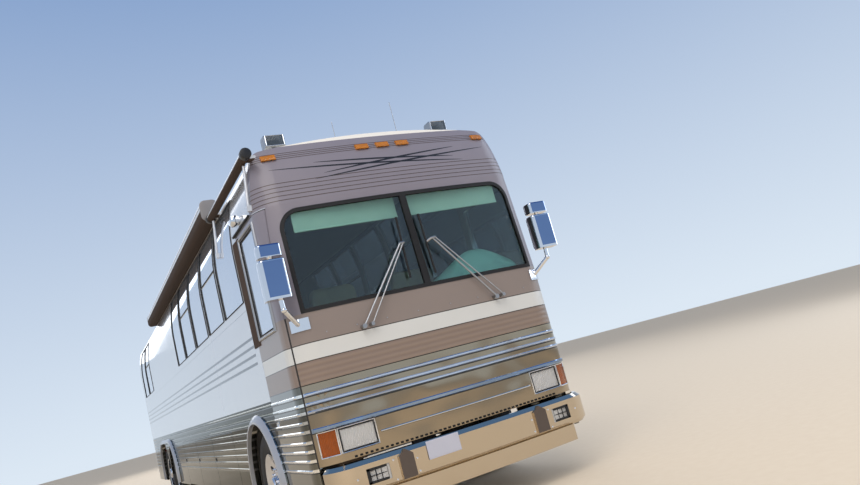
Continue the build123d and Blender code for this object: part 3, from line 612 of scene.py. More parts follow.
def makeFilmGlass():
    # dark float glass under a mirrored sun film: blue-grey, with a clear reflection of the sky
    material, tree, place = startMaterial(
        "solarFilmGlass", filmFinish["clear"], metallic=0.62, roughness=0.03,
        **{"Transmission Weight": 0.3, "IOR": 1.5, "Coat Weight": 0.5, "Coat Roughness": 0.02})
    ripple = addNode(tree, "TexNoise", {"Vector": place, "Scale": filmFinish["rippleScale"], "Detail": 1.0})
    colour = layColours(tree, filmFinish["clear"], [(ripple, filmFinish["deep"])])
    wireShader(tree, {"Base Color": colour}, ripple, filmFinish["rippleDepth"], 0.3)
    return material


lensFinish = {"shade": "c8c8c8", "lowLamps": 2.0, "prismDepth": 0.002}


def makeLens(name, colour, ribPitch, transmission=0.7, lowColour=None):
    # moulded acrylic lens with upright prisms on it; lamps low down can have a deeper colour
    material, tree, place = startMaterial(
        name, colour, roughness=0.08, **{"Transmission Weight": transmission, "IOR": 1.49})
    split = addNode(tree, "SeparateXYZ", [place], None)
    turns = addNode(tree, "Math", [split["X"], 2 * math.pi / ribPitch], operation="MULTIPLY")
    prisms = addNode(tree, "Math", [turns], operation="SINE")
    cloud = addNode(tree, "TexNoise", {"Vector": place, "Scale": 22.0, "Detail": 2.0})
    cloud = addNode(tree, "Math", [cloud, 1.0 if lowColour else 0.2], operation="MULTIPLY")
    high = addNode(tree, "Math", [split["Z"], lensFinish["lowLamps"]], operation="GREATER_THAN")
    tone = layColours(tree, lowColour or colour, [(high, colour)])
    deep = addNode(
        tree, "Mix", {0: cloud, 6: tone, 7: lensFinish["shade"]}, 2, data_type="RGBA", blend_type="MULTIPLY")
    wireShader(tree, {"Base Color": deep}, prisms, lensFinish["prismDepth"])
    return material


tyreFinish = {"rubber": "19191b", "dust": "3a3836", "groovePitch": 0.046, "grooveDepth": 0.012}


def makeTyre():
    # carbon-black rubber, dusty grey on the walls, with grooves round the tread
    material, tree, place = startMaterial("curedTyreRubber", "1c1c1e", roughness=0.75)
    dust = addNode(tree, "TexNoise", {"Vector": place, "Scale": 9.0, "Detail": 5.0})
    across = addNode(tree, "SeparateXYZ", [place], "X")
    turns = addNode(tree, "Math", [across, 2 * math.pi / tyreFinish["groovePitch"]], operation="MULTIPLY")
    wave = addNode(tree, "Math", [turns], operation="SINE")
    tread = addNode(tree, "Math", [wave, -0.75], operation="GREATER_THAN")
    colour = layColours(tree, tyreFinish["rubber"], [(dust, tyreFinish["dust"])])
    wireShader(tree, {"Base Color": colour}, tread, tyreFinish["grooveDepth"], 1.0)
    return material


awningPlan = {
    "split": behind(2.09),
    "entryCloth": (3.285, 3.345),
    "patioCloth": (3.33, 3.462),
    "lines": [3.50, 3.535],
    "lineHalf": 0.004,
    # the cloth's own brown, deepened by painted shade under the case
    "clothInShade": "35281f",
    "weave": "46352b",
    "weaveScale": 260.0,
    "silver": "d3d7dd",
    "line": "3d3c40",
}


def makeAwningCase():
    # anodised aluminium case and tube, with the rolled acrylic cloth showing brown below, its brown darkened
    # as painted shade under the case
    material, tree, place = startMaterial(
        "anodisedAwningCase", awningPlan["silver"], metallic=0.4, roughness=0.32)
    split = addNode(tree, "SeparateXYZ", [place], None)
    patio = addNode(tree, "Math", [split["Y"], awningPlan["split"]], operation="GREATER_THAN")
    entry = addNode(tree, "Math", [1.0, patio], operation="SUBTRACT")
    cloths = []
    for key, stretch in (("patioCloth", patio), ("entryCloth", entry)):
        low = bandMask(tree, split["Z"], *awningPlan[key])
        cloths.append(addNode(tree, "Math", [low, stretch], operation="MULTIPLY"))
    woven = joinMasks(tree, cloths)
    weave = addNode(tree, "TexNoise", {"Vector": place, "Scale": awningPlan["weaveScale"], "Detail": 2.0})
    clothInShade = layColours(tree, awningPlan["clothInShade"], [(weave, awningPlan["weave"])])
    lines = linesMask(tree, split["Z"], awningPlan["lines"], awningPlan["lineHalf"])
    colour = layColours(tree, awningPlan["silver"], [(lines, awningPlan["line"]), (woven, clothInShade)])
    cover = coverMetal(tree, woven, (0.4, 0.0), (0.32, 0.95))
    wireShader(tree, {"Base Color": colour, **cover}, weave, 0.0006, 0.4)
    return material


def makeWood():
    # birch plywood: long grain under a thin varnish
    material, tree, place = startMaterial("varnishedPlywood", "6f5a45", roughness=0.45)
    stretch = addNode(tree, "Mapping", {"Vector": place, "Scale": (14.0, 0.8, 14.0)})
    grain = addNode(tree, "TexNoise", {"Vector": stretch, "Scale": 4.0, "Detail": 6.0})
    wireShader(tree, {"Base Color": layColours(tree, "5c4a38", [(grain, "86705a")])}, grain, 0.0006)
    return material


def makeLeather():
    # grained cowhide: soft pale creases in cells about 3 mm across
    material, tree, place = startMaterial("grainedLeather", "b9b09f", roughness=0.5)
    cells = addNode(tree, "TexVoronoi", {"Vector": place, "Scale": 330.0}, "Distance")
    cloud = addNode(tree, "TexNoise", {"Vector": place, "Scale": 7.0, "Detail": 4.0})
    wireShader(tree, {"Base Color": layColours(tree, "c4bbaa", [(cloud, "a89e8c")])}, cells, 0.001)
    return material


def makeCastIron(name, light, dark):
    # sand-cast iron under black paint: a dull skin with a pebbly grain
    material, tree, place = startMaterial(name, light, metallic=0.3, roughness=0.62)
    sand = addNode(tree, "TexNoise", {"Vector": place, "Scale": 160.0, "Detail": 4.0})
    wireShader(tree, {"Base Color": layColours(tree, light, [(sand, dark)])}, sand, 0.0015, 0.6)
    return material


finishes = {
    "capPaint": makeCapPaint(),
    "frontPaint": makeFrontPaint(),
    "sidePaint": makeSidePaint("silverEnamelOverStainless", sideFinish["steelHead"]),
    "doorPaint": makeDoorPaint(),
    "bodyPaint": makeSidePaint("silverEnamel", 0.0),
    "steel": makeWavedMetal("polishedStainless", "dcdad6", 0.06, 2.2, 0.007),
    "bumperSteel": makeBumperSteel(),
    "chrome": makeWavedMetal("brightChrome", "e0e2e6", 0.04, 3.0, 0.003),
    "alloy": makeWavedMetal("polishedForgedAluminium", "d9dade", 0.14, 20.0, 0.002),
    "housingChrome": makeHousingChrome(),
    "reflector": makeWavedMetal("vapourSilveredReflector", "f4f5f7", 0.2, 45.0, 0.012),
    "satin": makeWavedMetal("satinAnodisedAluminium", "a8a9ab", 0.34, 60.0, 0.0006),
    "clearGlass": makeGlass("clearLaminatedGlass", "d8efe8"),
    "darkGlass": makeFilmGlass(),
    "mirrorGlass": makeWavedMetal("silveredGlass", "e6eaee", 0.02, 1.0, 0.001),
    "rubber": makeGrainedPlastic("blackEpdmRubber", "0d0d0f", "171719", 0.7),
    "lampLens": makeLens("clearFlutedAcrylic", "f6f7f9", 0.02, 0.5),
    "amberLens": makeLens("amberFlutedAcrylic", "f09a2a", 0.012, 0.35, "c2600f"),
    "redLens": makeLens("redFlutedAcrylic", "a3161a", 0.012, 0.35),
    "lampGrey": makeLens("smokedFlutedAcrylic", "414c58", 0.014, 0.1),
    "awningCase": makeAwningCase(),
    "endCap": makeGrainedPlastic("greyCastNylon", "8b8a8e", "7c7b80", 0.45),
    "edgeStrip": makeGrainedPlastic("brownMouldedVinyl", "3b2e27", "4a3a31", 0.7),
    "bezelBlack": makeGrainedPlastic("satinBlackNylon", "141416", "1c1c1f", 0.4),
    "whitePlastic": makeGrainedPlastic("whiteGelcoat", "e9e8e3", "dcdbd5", 0.3),
    "wood": makeWood(),
    "lining": makeWavedMetal("millAluminiumSheet", "9b9da0", 0.4, 30.0, 0.001),
    "framePaint": makeGrainedPlastic("blackChassisPaint", "1d1e20", "2a2a2b", 0.5),
    "iron": makeCastIron("paintedCastIron", "34353a", "202125"),
    "dashPlastic": makeGrainedPlastic("mouldedVinyl", "9cd0cf", "8cc2c1", 0.6),
    "leather": makeLeather(),
    "shadeCloth": makeGrainedPlastic("coatedBlindCloth", "e4f7ef", "d3ece2", 0.7, 0.002),
    "plateBlank": makeGrainedPlastic("paintedPlateBlank", "c6c9da", "b9bdcf", 0.35),
    # near-black blocks set in holes and slots: painted shade
    "paintedHollowShade": makeGrainedPlastic("paintedShadeBlack", "0c0c0d", "121214", 0.8),
    "tyre": makeTyre(),
}

nodeFinishes = {
    "capPaint": ["front_cap"],
    "whitePlastic": ["roof", "roof_units"],
    "bodyPaint": ["rear_cap"],
    "sidePaint": ["curb_wall", "street_wall"],
    "doorPaint": ["entry_door"],
    "frontPaint": ["front_panel"],
    "steel": ["engine_door"],
    "bumperSteel": ["front_bumper", "rear_bumper"],
    "clearGlass": ["windshield"],
    "darkGlass": ["side_glass", "entry_door_glass"],
    "rubber": ["windshield_frame", "wiper_blades"],
    "lampLens": ["headlamps"],
    "amberLens": ["amber_lamps"],
    "redLens": ["tail_lamps"],
    "housingChrome": ["mirrors"],
    "satin": ["wipers", "roof_lamps"],
    "awningCase": ["awnings"],
    "wood": ["cabin_floor"],
    "lining": ["luggage_bays"],
    "framePaint": ["frame_rails", "frame_posts", "cross_members", "engine_cradle"],
    "iron": ["engine_block", "axles"],
    "dashPlastic": ["dashboard"],
    "alloy": [],
    "tyre": [],
}
for side in ("curb", "street"):
    nodeFinishes["sidePaint"] += [f"bay_door_{side}_{number}" for number in (1, 2, 3)]
    nodeFinishes["iron"].append(f"knuckle_{side}")
    nodeFinishes["alloy"] += [f"{wheel}_{side}" for wheel in ("front_rim", "drive_rims", "tag_rim")]
    nodeFinishes["tyre"] += [f"{wheel}_{side}" for wheel in ("front_tyre", "drive_tyres", "tag_tyre")]
for finish, nodes in nodeFinishes.items():
    for node in nodes:
        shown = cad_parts[node]
        if not shown.material_slots:
            shown.data.materials.append(None)
        for place in shown.material_slots:
            place.material = finishes[finish]
print("materials made:", len(finishes))


# Windows: black rubber gaskets round every side light

windowPlan = {
    "foot": 2.27,
    "head": 3.285,
    "bar": 2.845,
    "spans": [
        (1.29, 2.27), (2.36, 3.35), (3.45, 4.43), (4.53, 5.50), (5.59, 6.50), (10.95, 11.88), (11.97, 12.90)],
    "barred": [1, 3, 5],
    "driver": ((0.33, 1.18), 1.90, 2.78),
    "entry": ((0.40, 0.93), 1.88, 2.76),
    "gasket": 0.008,
    "steps": 8,
}


def uprightRun(side, y, low, high, proud=0.0):
    steps = windowPlan["steps"]
    heights = [low + (high - low) * i / steps for i in range(steps + 1)]
    return [(side * sideX(z, proud), y, z) for z in heights]


def windowGasket(side, span, foot, head, radius=windowPlan["gasket"]):
    front, rear = (uprightRun(side, behind(distance), foot, head) for distance in span)
    return beadAlong(front + rear[::-1], radius, closed=True)


def makeGaskets():
    beads = []
    for side in (-1, 1):
        for number, span in enumerate(windowPlan["spans"]):
            beads.append(windowGasket(side, span, windowPlan["foot"], windowPlan["head"]))
            if number in windowPlan["barred"]:
                x = side * sideX(windowPlan["bar"])
                bar = [(x, behind(distance), windowPlan["bar"]) for distance in span]
                beads.append(beadAlong(bar, windowPlan["gasket"]))
    beads.append(windowGasket(1, *windowPlan["driver"]))
    finishPiece(beads, "window_gaskets", "coach", "rubber", "black_rubber")
    entry = windowGasket(-1, *windowPlan["entry"])
    finishPiece([entry], "entry_window_gasket", "entry_door", "rubber", "black_rubber")


makeGaskets()
print("windows trimmed")


# Front: bright ledge under the lamps, plate blank, perforated step strip, rivets

ledgePlan = {"z": 0.846, "half": 0.74, "proud": 0.002, "radius": 0.009}
platePlan = {
    "x": (-0.466, -0.166),
    "z": (0.533, 0.676),
    "proud": 0.004,
    "thick": 0.003,
    "rim": 0.006,
    "raised": 0.001,
}
stepPlan = {
    "z": 0.700,
    "proud": 0.006,
    "count": 46,
    "reach": 0.98,
    "slot": ((-0.011, -0.003, 0.006), (0.011, 0.006, 0.022)),
}
rivetPlan = {
    "x": [-0.98, -0.72, -0.45, -0.16, 0.16, 0.45, 0.72, 0.98],
    "z": 1.72,
    "radius": 0.006,
    "sunk": 0.004,
    "proud": 0.003,
}


def makeFrontTrim():
    ledge = beadAlong(
        rowAcross(ledgePlan["z"], ledgePlan["half"], ledgePlan["proud"]), ledgePlan["radius"], sides=3)
    finishPiece([ledge], "front_ledge", "coach", "steel", "polished_steel")
    (left, right), (foot, head) = platePlan["x"], platePlan["z"]
    faceY = bumperY((left + right) / 2) - platePlan["proud"]
    blank = softBlock((left, faceY, foot), (right, faceY + platePlan["thick"], head), 0.001)
    selectFaces(blank, lambda face: face.normal.y < -0.9 and face.area > 0.01)
    bpy.ops.mesh.inset(thickness=platePlan["rim"], depth=0)
    bpy.ops.mesh.extrude_region_move(TRANSFORM_OT_translate={"value": (0, -platePlan["raised"], 0)})
    bpy.ops.object.mode_set(mode="OBJECT")
    finishPiece([blank], "plate_blank", "coach", "plateBlank", "white_plastic")
    # the step strip's holes are near-black blocks of painted shade
    row = [stepPlan["reach"] * (2 * i / (stepPlan["count"] - 1) - 1) for i in range(stepPlan["count"])]
    slots = setOut(
        softBlock(*stepPlan["slot"], 0.002, 1),
        [(x, shell["noseY"] - stepPlan["proud"] + bowAt(x), stepPlan["z"]) for x in row])
    finishPiece(slots, "step_slots", "coach", "paintedHollowShade", "black_rubber")
    heads = []
    for x in rivetPlan["x"]:
        y, z = frontY(x, rivetPlan["z"]), rivetPlan["z"]
        heads.append(roundBar(
            (x, y + rivetPlan["sunk"], z), (x, y - rivetPlan["proud"], z), rivetPlan["radius"], 12, 0.002))
    finishPiece(heads, "front_rivets", "coach", "satin", "satin_silver")


makeFrontTrim()
print("front trimmed")


# Lamps: bezels and housings round them, bolts in the bumper, stepped reflectors behind the lenses

bezelPlan = {
    "head": {"x": (0.770, 1.080), "z": (0.762, 0.958)},
    "turn": {"x": (1.092, 1.225), "z": (0.762, 0.958)},
    "carrierZ": 0.9,
    "chromeRadius": 0.006,
    "blackRadius": 0.005,
    "blackInset": 0.012,
    "steps": 6,
}
fogPlan = {
    "x": 0.886,
    "half": 0.095,
    "z": (0.491, 0.609),
    "sideWall": 0.026,
    "levelWall": 0.020,
    "barHalf": 0.003,
    "bars": 2,
    "y": (-0.001, 0.014),
}
bumperBolts = {
    "places": [
        (-0.56, 0.575), (-0.56, 0.475), (0.56, 0.575), (0.56, 0.475), (-0.755, 0.465), (0.755, 0.465),
        (-0.755, 0.615), (0.755, 0.615), (-1.06, 0.55), (1.06, 0.55)],
    "radius": 0.009,
    "half": 0.004,
}
reflectorPlan = {
    "head": {
        "x": 0.925, "half": 0.150, "z": (0.768, 0.952), "back": 0.10, "steps": 4, "step": 0.018,
        "y": frontY(0.92, 0.86) + 0.052},
    "fog": {
        "x": 0.886, "half": 0.093, "z": (0.494, 0.606), "back": 0.055, "steps": 2, "step": 0.012,
        "y": bumperY(0.886) + 0.072},
    "deeper": 0.2,
}


def lampFrame(side, xs, zs, surface, radius, inset=0.0):
    # a bead round a lamp, laid on the surface that carries it
    low, high = xs[0] + inset, xs[1] - inset
    foot, head = zs[0] + inset, zs[1] - inset
    corners = [(low, foot), (high, foot), (high, head), (low, head)]
    steps = bezelPlan["steps"]
    path = []
    for (x, z), (nextX, nextZ) in zip(corners, corners[1:] + corners[:1]):
        for step in range(steps):
            across = side * (x + (nextX - x) * step / steps)
            path.append((across, surface(across), z + (nextZ - z) * step / steps))
    return beadAlong(path, radius, closed=True)


def noseAtLamps(x):
    return frontY(x, bezelPlan["carrierZ"])


def bothSides(x):
    return [(-x, 0, 0), (x, 0, 0)]


def makeBezels():
    head, turn = bezelPlan["head"], bezelPlan["turn"]
    bright, dark = [], []
    for side in (-1, 1):
        for plan in (head, turn):
            bright.append(lampFrame(side, plan["x"], plan["z"], noseAtLamps, bezelPlan["chromeRadius"]))
        dark.append(lampFrame(
            side, head["x"], head["z"], noseAtLamps, bezelPlan["blackRadius"], bezelPlan["blackInset"]))
    (foot, top), half, bar = fogPlan["z"], fogPlan["half"], fogPlan["barHalf"]
    inside = half - fogPlan["sideWall"]
    middle = (foot + top) / 2
    walls = [
        (-half, foot, -inside, top),
        (inside, foot, half, top),
        (-half, foot, half, foot + fogPlan["levelWall"]),
        (-half, top - fogPlan["levelWall"], half, top),
        (-half, middle - bar, half, middle + bar),
    ]
    for number in range(fogPlan["bars"]):
        x = inside * (2 * (number + 1) / (fogPlan["bars"] + 1) - 1)
        walls.append((x - bar, foot, x + bar, top))
    front, back = (bumperY(fogPlan["x"]) + y for y in fogPlan["y"])
    for left, low, right, high in walls:
        wall = softBlock((left, front, low), (right, back, high), 0.002, 1)
        dark += setOut(wall, bothSides(fogPlan["x"]))
    finishPiece(bright, "lamp_bezels", "coach", "chrome", "chrome")
    finishPiece(dark, "lamp_housings", "coach", "bezelBlack", "black_rubber")


def makeBolts():
    half = bumperBolts["half"]
    bolt = roundBar((0, half, 0), (0, -half, 0), bumperBolts["radius"], 14, 0.003)
    heads = setOut(bolt, [(x, bumperY(x), z) for x, z in bumperBolts["places"]])
    finishPiece(heads, "bumper_bolts", "coach", "chrome", "chrome")


def makeReflectors():
    bowls = []
    for key in ("head", "fog"):
        plan = reflectorPlan[key]
        (foot, head), half, front = plan["z"], plan["half"], plan["y"]
        bowl = softBlock((-half, front, foot), (half, front + plan["back"], head), 0.002, 1)
        selectFaces(bowl, lambda face: face.normal.y < -0.9 and face.area > 0.008)
        for _ in range(plan["steps"]):
            bpy.ops.mesh.inset(thickness=plan["step"], depth=0)
            bpy.ops.transform.translate(value=(0, plan["back"] * reflectorPlan["deeper"], 0))
        bpy.ops.object.mode_set(mode="OBJECT")
        bowls += setOut(bowl, bothSides(plan["x"]))
    finishPiece(bowls, "lamp_reflectors", "coach", "reflector", "chrome", 20)


makeBezels()
makeBolts()
makeReflectors()
print("lamps filled")


# Mirrors: silvered glass in a rubber bezel on the back of each housing

mirrorPlan = {
    "x": 1.322,
    "y": behind(-0.010),
    # foot, head, width and how far back of the arm's line
    "glasses": [(2.065, 2.340, 0.180, 0.0645), (2.398, 2.475, 0.165, 0.0595)],
    "glassThick": 0.005,
    "bezel": 0.006,
    "bezelY": (-0.004, 0.003),
}


def makeMirrorGlass():
    panes, bezels = [], []
    rim = mirrorPlan["bezel"]
    for foot, head, width, depth in mirrorPlan["glasses"]:
        half, back = width / 2, mirrorPlan["y"] + depth
        front, rear = (back + y for y in mirrorPlan["bezelY"])
        bezel = softBlock((-half - rim, front, foot - rim), (half + rim, rear, head + rim), 0.002)
        pane = softBlock((-half, back, foot), (half, back + mirrorPlan["glassThick"], head), 0.002)
        bezels += setOut(bezel, bothSides(mirrorPlan["x"]))
        panes += setOut(pane, bothSides(mirrorPlan["x"]))
    finishPiece(panes, "mirror_glass", "coach", "mirrorGlass", "chrome")
    finishPiece(bezels, "mirror_bezels", "coach", "rubber", "black_rubber")


makeMirrorGlass()
print("mirrors glazed")


# Roller blinds behind the windshield's head

blindPlan = {
    "z": (2.60, 2.79),
    "x": 0.535,
    "half": 0.485,
    "clear": 0.05,
    "thick": 0.004,
    "rollBehind": 0.02,
    "rollRadius": 0.022,
    "barRadius": 0.008,
}


def makeBlinds():
    (foot, head), half = blindPlan["z"], blindPlan["half"]
    y = frontY(blindPlan["x"] + half, foot) + blindPlan["clear"]
    rollY = y + blindPlan["rollBehind"]
    blind = [
        softBlock((-half, y, foot), (half, y + blindPlan["thick"], head), 0.001),
        roundBar((-half, rollY, head), (half, rollY, head), blindPlan["rollRadius"], 24),
        roundBar((-half, y, foot), (half, y, foot), blindPlan["barRadius"], 12),
    ]
    blinds = setOut(joinPieces(blind), bothSides(blindPlan["x"]))
    finishPiece(blinds, "windshield_blinds", "coach", "shadeCloth", "dash_plastic")


makeBlinds()
print("blinds hung")


# Roof edge: flood lamp lenses and frames, awning ends, the lamp and drip rail above the entry door

floodPlan = {
    "x": 0.868,
    "half": 0.085,
    "y": behind(0.63) - 0.065,
    "z": (3.538, 3.637),
    "lensY": (-0.005, 0.004),
    "frameY": -0.003,
    "frameRadius": 0.005,
}
awningEnds = {
    "low": (-1.350, -0.1, 3.338),
    "high": (-1.154, 0.1, 3.566),
    "rounding": 0.06,
    "flatten": 0.14,
    "gap": 0.002,
    "ends": [behind(2.10), behind(9.08)],
}
plugPlan = {
    "place": (-1.268, 3.345),
    "ends": [behind(0.18), behind(2.08)],
    "half": 0.034,
    "sunk": 0.016,
    "radius": 0.050,
}
bulletPlan = {
    "place": (-1.318, behind(0.86), 2.955),
    "half": 0.07,
    "radius": 0.045,
    "rounding": 0.018,
    "stem": (0.048, 0, -0.02),
    "stemRadius": 0.014,
}
dripPlan = {"place": (-1.299, 2.868), "ends": [behind(0.42), behind(1.12)], "radius": 0.012}


def makeRoofEdge():
    (low, high), half = floodPlan["z"], floodPlan["half"]
    front, back = (floodPlan["y"] + y for y in floodPlan["lensY"])
    lens = softBlock((-half, front, low), (half, back, high), 0.003)
    finishPiece(setOut(lens, bothSides(floodPlan["x"])), "flood_lenses", "coach", "lampGrey", "lamp_glass")
    y = floodPlan["y"] + floodPlan["frameY"]
    corners = [(-half, y, low), (half, y, low), (half, y, high), (-half, y, high)]
    rim = beadAlong(corners, floodPlan["frameRadius"], closed=True)
    finishPiece(setOut(rim, bothSides(floodPlan["x"])), "flood_frames", "coach", "chrome", "chrome")
    cap = softBlock(awningEnds["low"], awningEnds["high"], awningEnds["rounding"], 6)
    cap.scale = (1, awningEnds["flatten"], 1)
    applyPlace()
    front, back = awningEnds["ends"]
    ends = setOut(cap, [(0, front - awningEnds["gap"], 0), (0, back + awningEnds["gap"], 0)])
    finishPiece(ends, "awning_ends", "coach", "endCap", "awning_case")
    x, z = plugPlan["place"]
    front, back = plugPlan["ends"]
    plug = roundBar((0, -plugPlan["half"], 0), (0, plugPlan["half"], 0), plugPlan["radius"], 32, 0.008)
    plugs = setOut(plug, [(x, front + plugPlan["sunk"], z), (x, back - plugPlan["sunk"], z)])
    finishPiece(plugs, "roller_plugs", "coach", "bezelBlack", "black_rubber")
    centre, half = Vector(bulletPlan["place"]), Vector((0, bulletPlan["half"], 0))
    bullet = [
        roundBar(centre - half, centre + half, bulletPlan["radius"], 28, bulletPlan["rounding"]),
        roundBar(centre, centre + Vector(bulletPlan["stem"]), bulletPlan["stemRadius"], 16, 0.002),
    ]
    finishPiece(bullet, "door_lamp", "coach", "chrome", "chrome")
    x, z = dripPlan["place"]
    drip = beadAlong([(x, y, z) for y in dripPlan["ends"]], dripPlan["radius"])
    finishPiece([drip], "drip_rail", "coach", "rubber", "black_rubber")


makeRoofEdge()
print("roof edge dressed")


# Entry door: bright frame round the glass, a fluted strip up its rear edge and one up the jamb behind it

glassFrame = {"span": (0.372, 0.958), "z": (1.852, 2.788), "radius": 0.018}
stripPlan = {
    "door": [-5.722, -5.699, -5.676, -5.653],
    "jamb": [-5.610, -5.587, -5.564, -5.541, -5.518, -5.495],
    "z": (1.81, 2.82),
    "radius": 0.013,
    "sunk": 0.004,
}


def makeStrip(name, body, rows):
    flute = beadAlong(uprightRun(-1, 0, *stripPlan["z"], -stripPlan["sunk"]), stripPlan["radius"], sides=3)
    finishPiece(setOut(flute, [(0, y, 0) for y in rows]), name, body, "edgeStrip", "black_rubber")


def makeDoorTrim():
    rim = windowGasket(-1, glassFrame["span"], *glassFrame["z"], glassFrame["radius"])
    finishPiece([rim], "entry_glass_frame", "entry_door", "satin", "satin_silver")
    makeStrip("entry_edge_strip", "entry_door", stripPlan["door"])
    makeStrip("entry_jamb_strip", "coach", stripPlan["jamb"])


# The entry door and every bay door: a flush paddle latch

latchPlan = {
    "entry": (behind(0.99), 1.09),
    "bayRears": [4.80, 6.35, 7.90],
    "inset": 0.07,
    "bayZ": 0.795,
    "x": (1.292, 1.299),
    "half": (0.035, 0.022),
    "rim": 0.006,
    "sunk": 0.004,
}


def makeLatches(side, latches):
    # a shallow cup with a sunk paddle in it, copied to each place along one side
    (near, far), (long, high) = sorted(side * x for x in latchPlan["x"]), latchPlan["half"]
    cup = softBlock((near, -long, -high), (far, long, high), 0.003)
    selectFaces(cup, lambda face: face.normal.x * side > 0.9 and face.area > 0.001)
    bpy.ops.mesh.inset(thickness=latchPlan["rim"], depth=0)
    bpy.ops.transform.translate(value=(-side * latchPlan["sunk"], 0, 0))
    bpy.ops.object.mode_set(mode="OBJECT")
    cups = setOut(cup, [(0, *place) for place, looks in latches])
    for cup, (place, looks) in zip(cups, latches):
        finishPiece([cup], *looks)


def bayLatches(word):
    return [
        ((behind(rear - latchPlan["inset"]), latchPlan["bayZ"]),
         (f"bay_latch_{word}_{number}", f"bay_door_{word}_{number}", "bezelBlack", "black_rubber"))
        for number, rear in enumerate(latchPlan["bayRears"], 1)]


makeDoorTrim()
entryLatch = (latchPlan["entry"], ("entry_latch", "entry_door", "chrome", "chrome"))
makeLatches(-1, [entryLatch, *bayLatches("curb")])
makeLatches(1, bayLatches("street"))
print("doors trimmed")


# Cab: a padded cover along the dashboard, rising in front of the driver

coverPlan = {
    "x": (-0.98, 1.06),
    "rear": behind(0.56),
    "glassGap": 0.075,
    "glassZ": 1.95,
    "foot": 1.86,
    "rise": 0.05,
    "dome": 0.30,
    "domeX": 0.72,
    "domeSpread": 0.42,
    "fullness": 0.6,
    "rows": 14,
    "columns": 44,
}


def coverHeight(across, back):
    # the cover's height at a place across the cab and a share of its depth
    dome = coverPlan["dome"] * math.exp(-((across - coverPlan["domeX"]) / coverPlan["domeSpread"]) ** 2)
    arch = math.sin(math.pi * min(max(back, 0.0), 1.0)) ** coverPlan["fullness"]
    return coverPlan["foot"] + (coverPlan["rise"] + dome) * arch


def makeDashCover():
    deselectAll()
    bpy.ops.mesh.primitive_grid_add(
        x_subdivisions=coverPlan["columns"], y_subdivisions=coverPlan["rows"], size=2)
    cover = bpy.context.object
    left, right = coverPlan["x"]
    for vertex in cover.data.vertices:
        share = (vertex.co.y + 1) / 2
        x = left + (right - left) * (vertex.co.x + 1) / 2
        front = frontY(x, coverPlan["glassZ"]) + coverPlan["glassGap"]
        vertex.co = (x, front + (coverPlan["rear"] - front) * share, coverHeight(x, share))
    finishPiece([cover], "dash_cover", "coach", "dashPlastic", "dash_plastic", 60)


makeDashCover()
print("dashboard covered")


# Seats: pedestal, sprung cushion, back and two arm pads, in place of the plain CAD seats

seatPlan = {
    "floor": 1.163,
    "places": [(0.65, behind(1.33)), (-0.25, behind(1.45))],
    # low and high corner, rounding and its steps
    "stand": [
        ((-0.17, -0.17, 0.001), (0.17, 0.17, 0.33), 0.02, 3),
        ((-0.32, 0.12, 0.40), (0.32, 0.20, 0.44), 0.008, 2),
        ((-0.32, 0.12, 0.40), (-0.28, 0.20, 0.57), 0.008, 2),
        ((0.28, 0.12, 0.40), (0.32, 0.20, 0.57), 0.008, 2),
    ],
}
padPlan = {
    "cushion": {"size": (0.54, 0.53, 0.15), "crown": 0.018, "sewn": True, "fill": 0.8, "lean": 0},
    "back": {"size": (0.52, 0.76, 0.13), "crown": 0.022, "sewn": True, "fill": 0.8, "lean": 102},
    "arm": {"size": (0.075, 0.43, 0.08), "crown": 0.008, "sewn": False, "fill": 0.9, "lean": 0},
    # the kind of pad, its name on each seat and its middle from the foot of the seat
    "set": [
        ("cushion", {"cushion": (0, -0.015, 0.40)}),
        ("back", {"back": (0, 0.36, 0.80)}),
        ("arm", {"arm_left": (-0.30, 0.015, 0.60), "arm_right": (0.30, 0.015, 0.60)}),
    ],
    "cuts": 22,
    "squareness": 7,
    "drawn": 0.035,
    "belly": 0.15,
    "channels": [-0.34, 0.0, 0.34],
    "channelHalf": 0.045,
    "channelDepth": 0.012,
}


def makePad(size, crown, sewn, **others):
    # a crowned closed form: rounded edges, sides drawn in between the corners, sewn channels on top
    deselectAll()
    bpy.ops.mesh.primitive_cube_add(size=2)
    pad = bpy.context.object
    bpy.ops.object.mode_set(mode="EDIT")
    bpy.ops.mesh.subdivide(number_cuts=padPlan["cuts"])
    bpy.ops.object.mode_set(mode="OBJECT")
    power, drawn = padPlan["squareness"], padPlan["drawn"]
    for vertex in pad.data.vertices:
        norm = sum(abs(share) ** power for share in vertex.co) ** (1 / power)
        u, v, w = (share / norm for share in vertex.co)
        x = u * (1 - drawn * (1 - v * v))
        y = v * (1 - drawn * (1 - u * u))
        rise = crown * (1 - u * u) * (1 - v * v) * (1 if w > 0 else padPlan["belly"])
        groove = 0
        if sewn and w > 0:
            groove = sum(math.exp(-((u - c) / padPlan["channelHalf"]) ** 2) for c in padPlan["channels"])
        z = w * size[2] / 2 + math.copysign(rise, w) - padPlan["channelDepth"] * groove
        vertex.co = (x * size[0] / 2, y * size[1] / 2, z)
    return pad


def makeStands():
    stand = joinPieces([softBlock(*block) for block in seatPlan["stand"]])
    stands = setOut(stand, [(x, y, seatPlan["floor"]) for x, y in seatPlan["places"]])
    for number, stand in enumerate(stands, 1):
        finishPiece([stand], f"seat_stand_{number}", "coach", "bezelBlack", "black_rubber")
    return stands


def makePads():
    for kind, spots in padPlan["set"]:
        plan = padPlan[kind]
        names, places = [], []
        for number, (x, y) in enumerate(seatPlan["places"], 1):
            for word, spot in spots.items():
                names.append(f"seat_{word}_{number}")
                places.append(Vector((x, y, seatPlan["floor"])) + Vector(spot))
        for name, pad in zip(names, setOut(makePad(**plan), places)):
            pad.rotation_euler = (math.radians(plan["lean"]), 0, 0)
            finishPiece([pad], name, "coach", "leather", "seat_leather", 70)


stands = makeStands()
makePads()
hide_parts("seats")
print("seats upholstered")


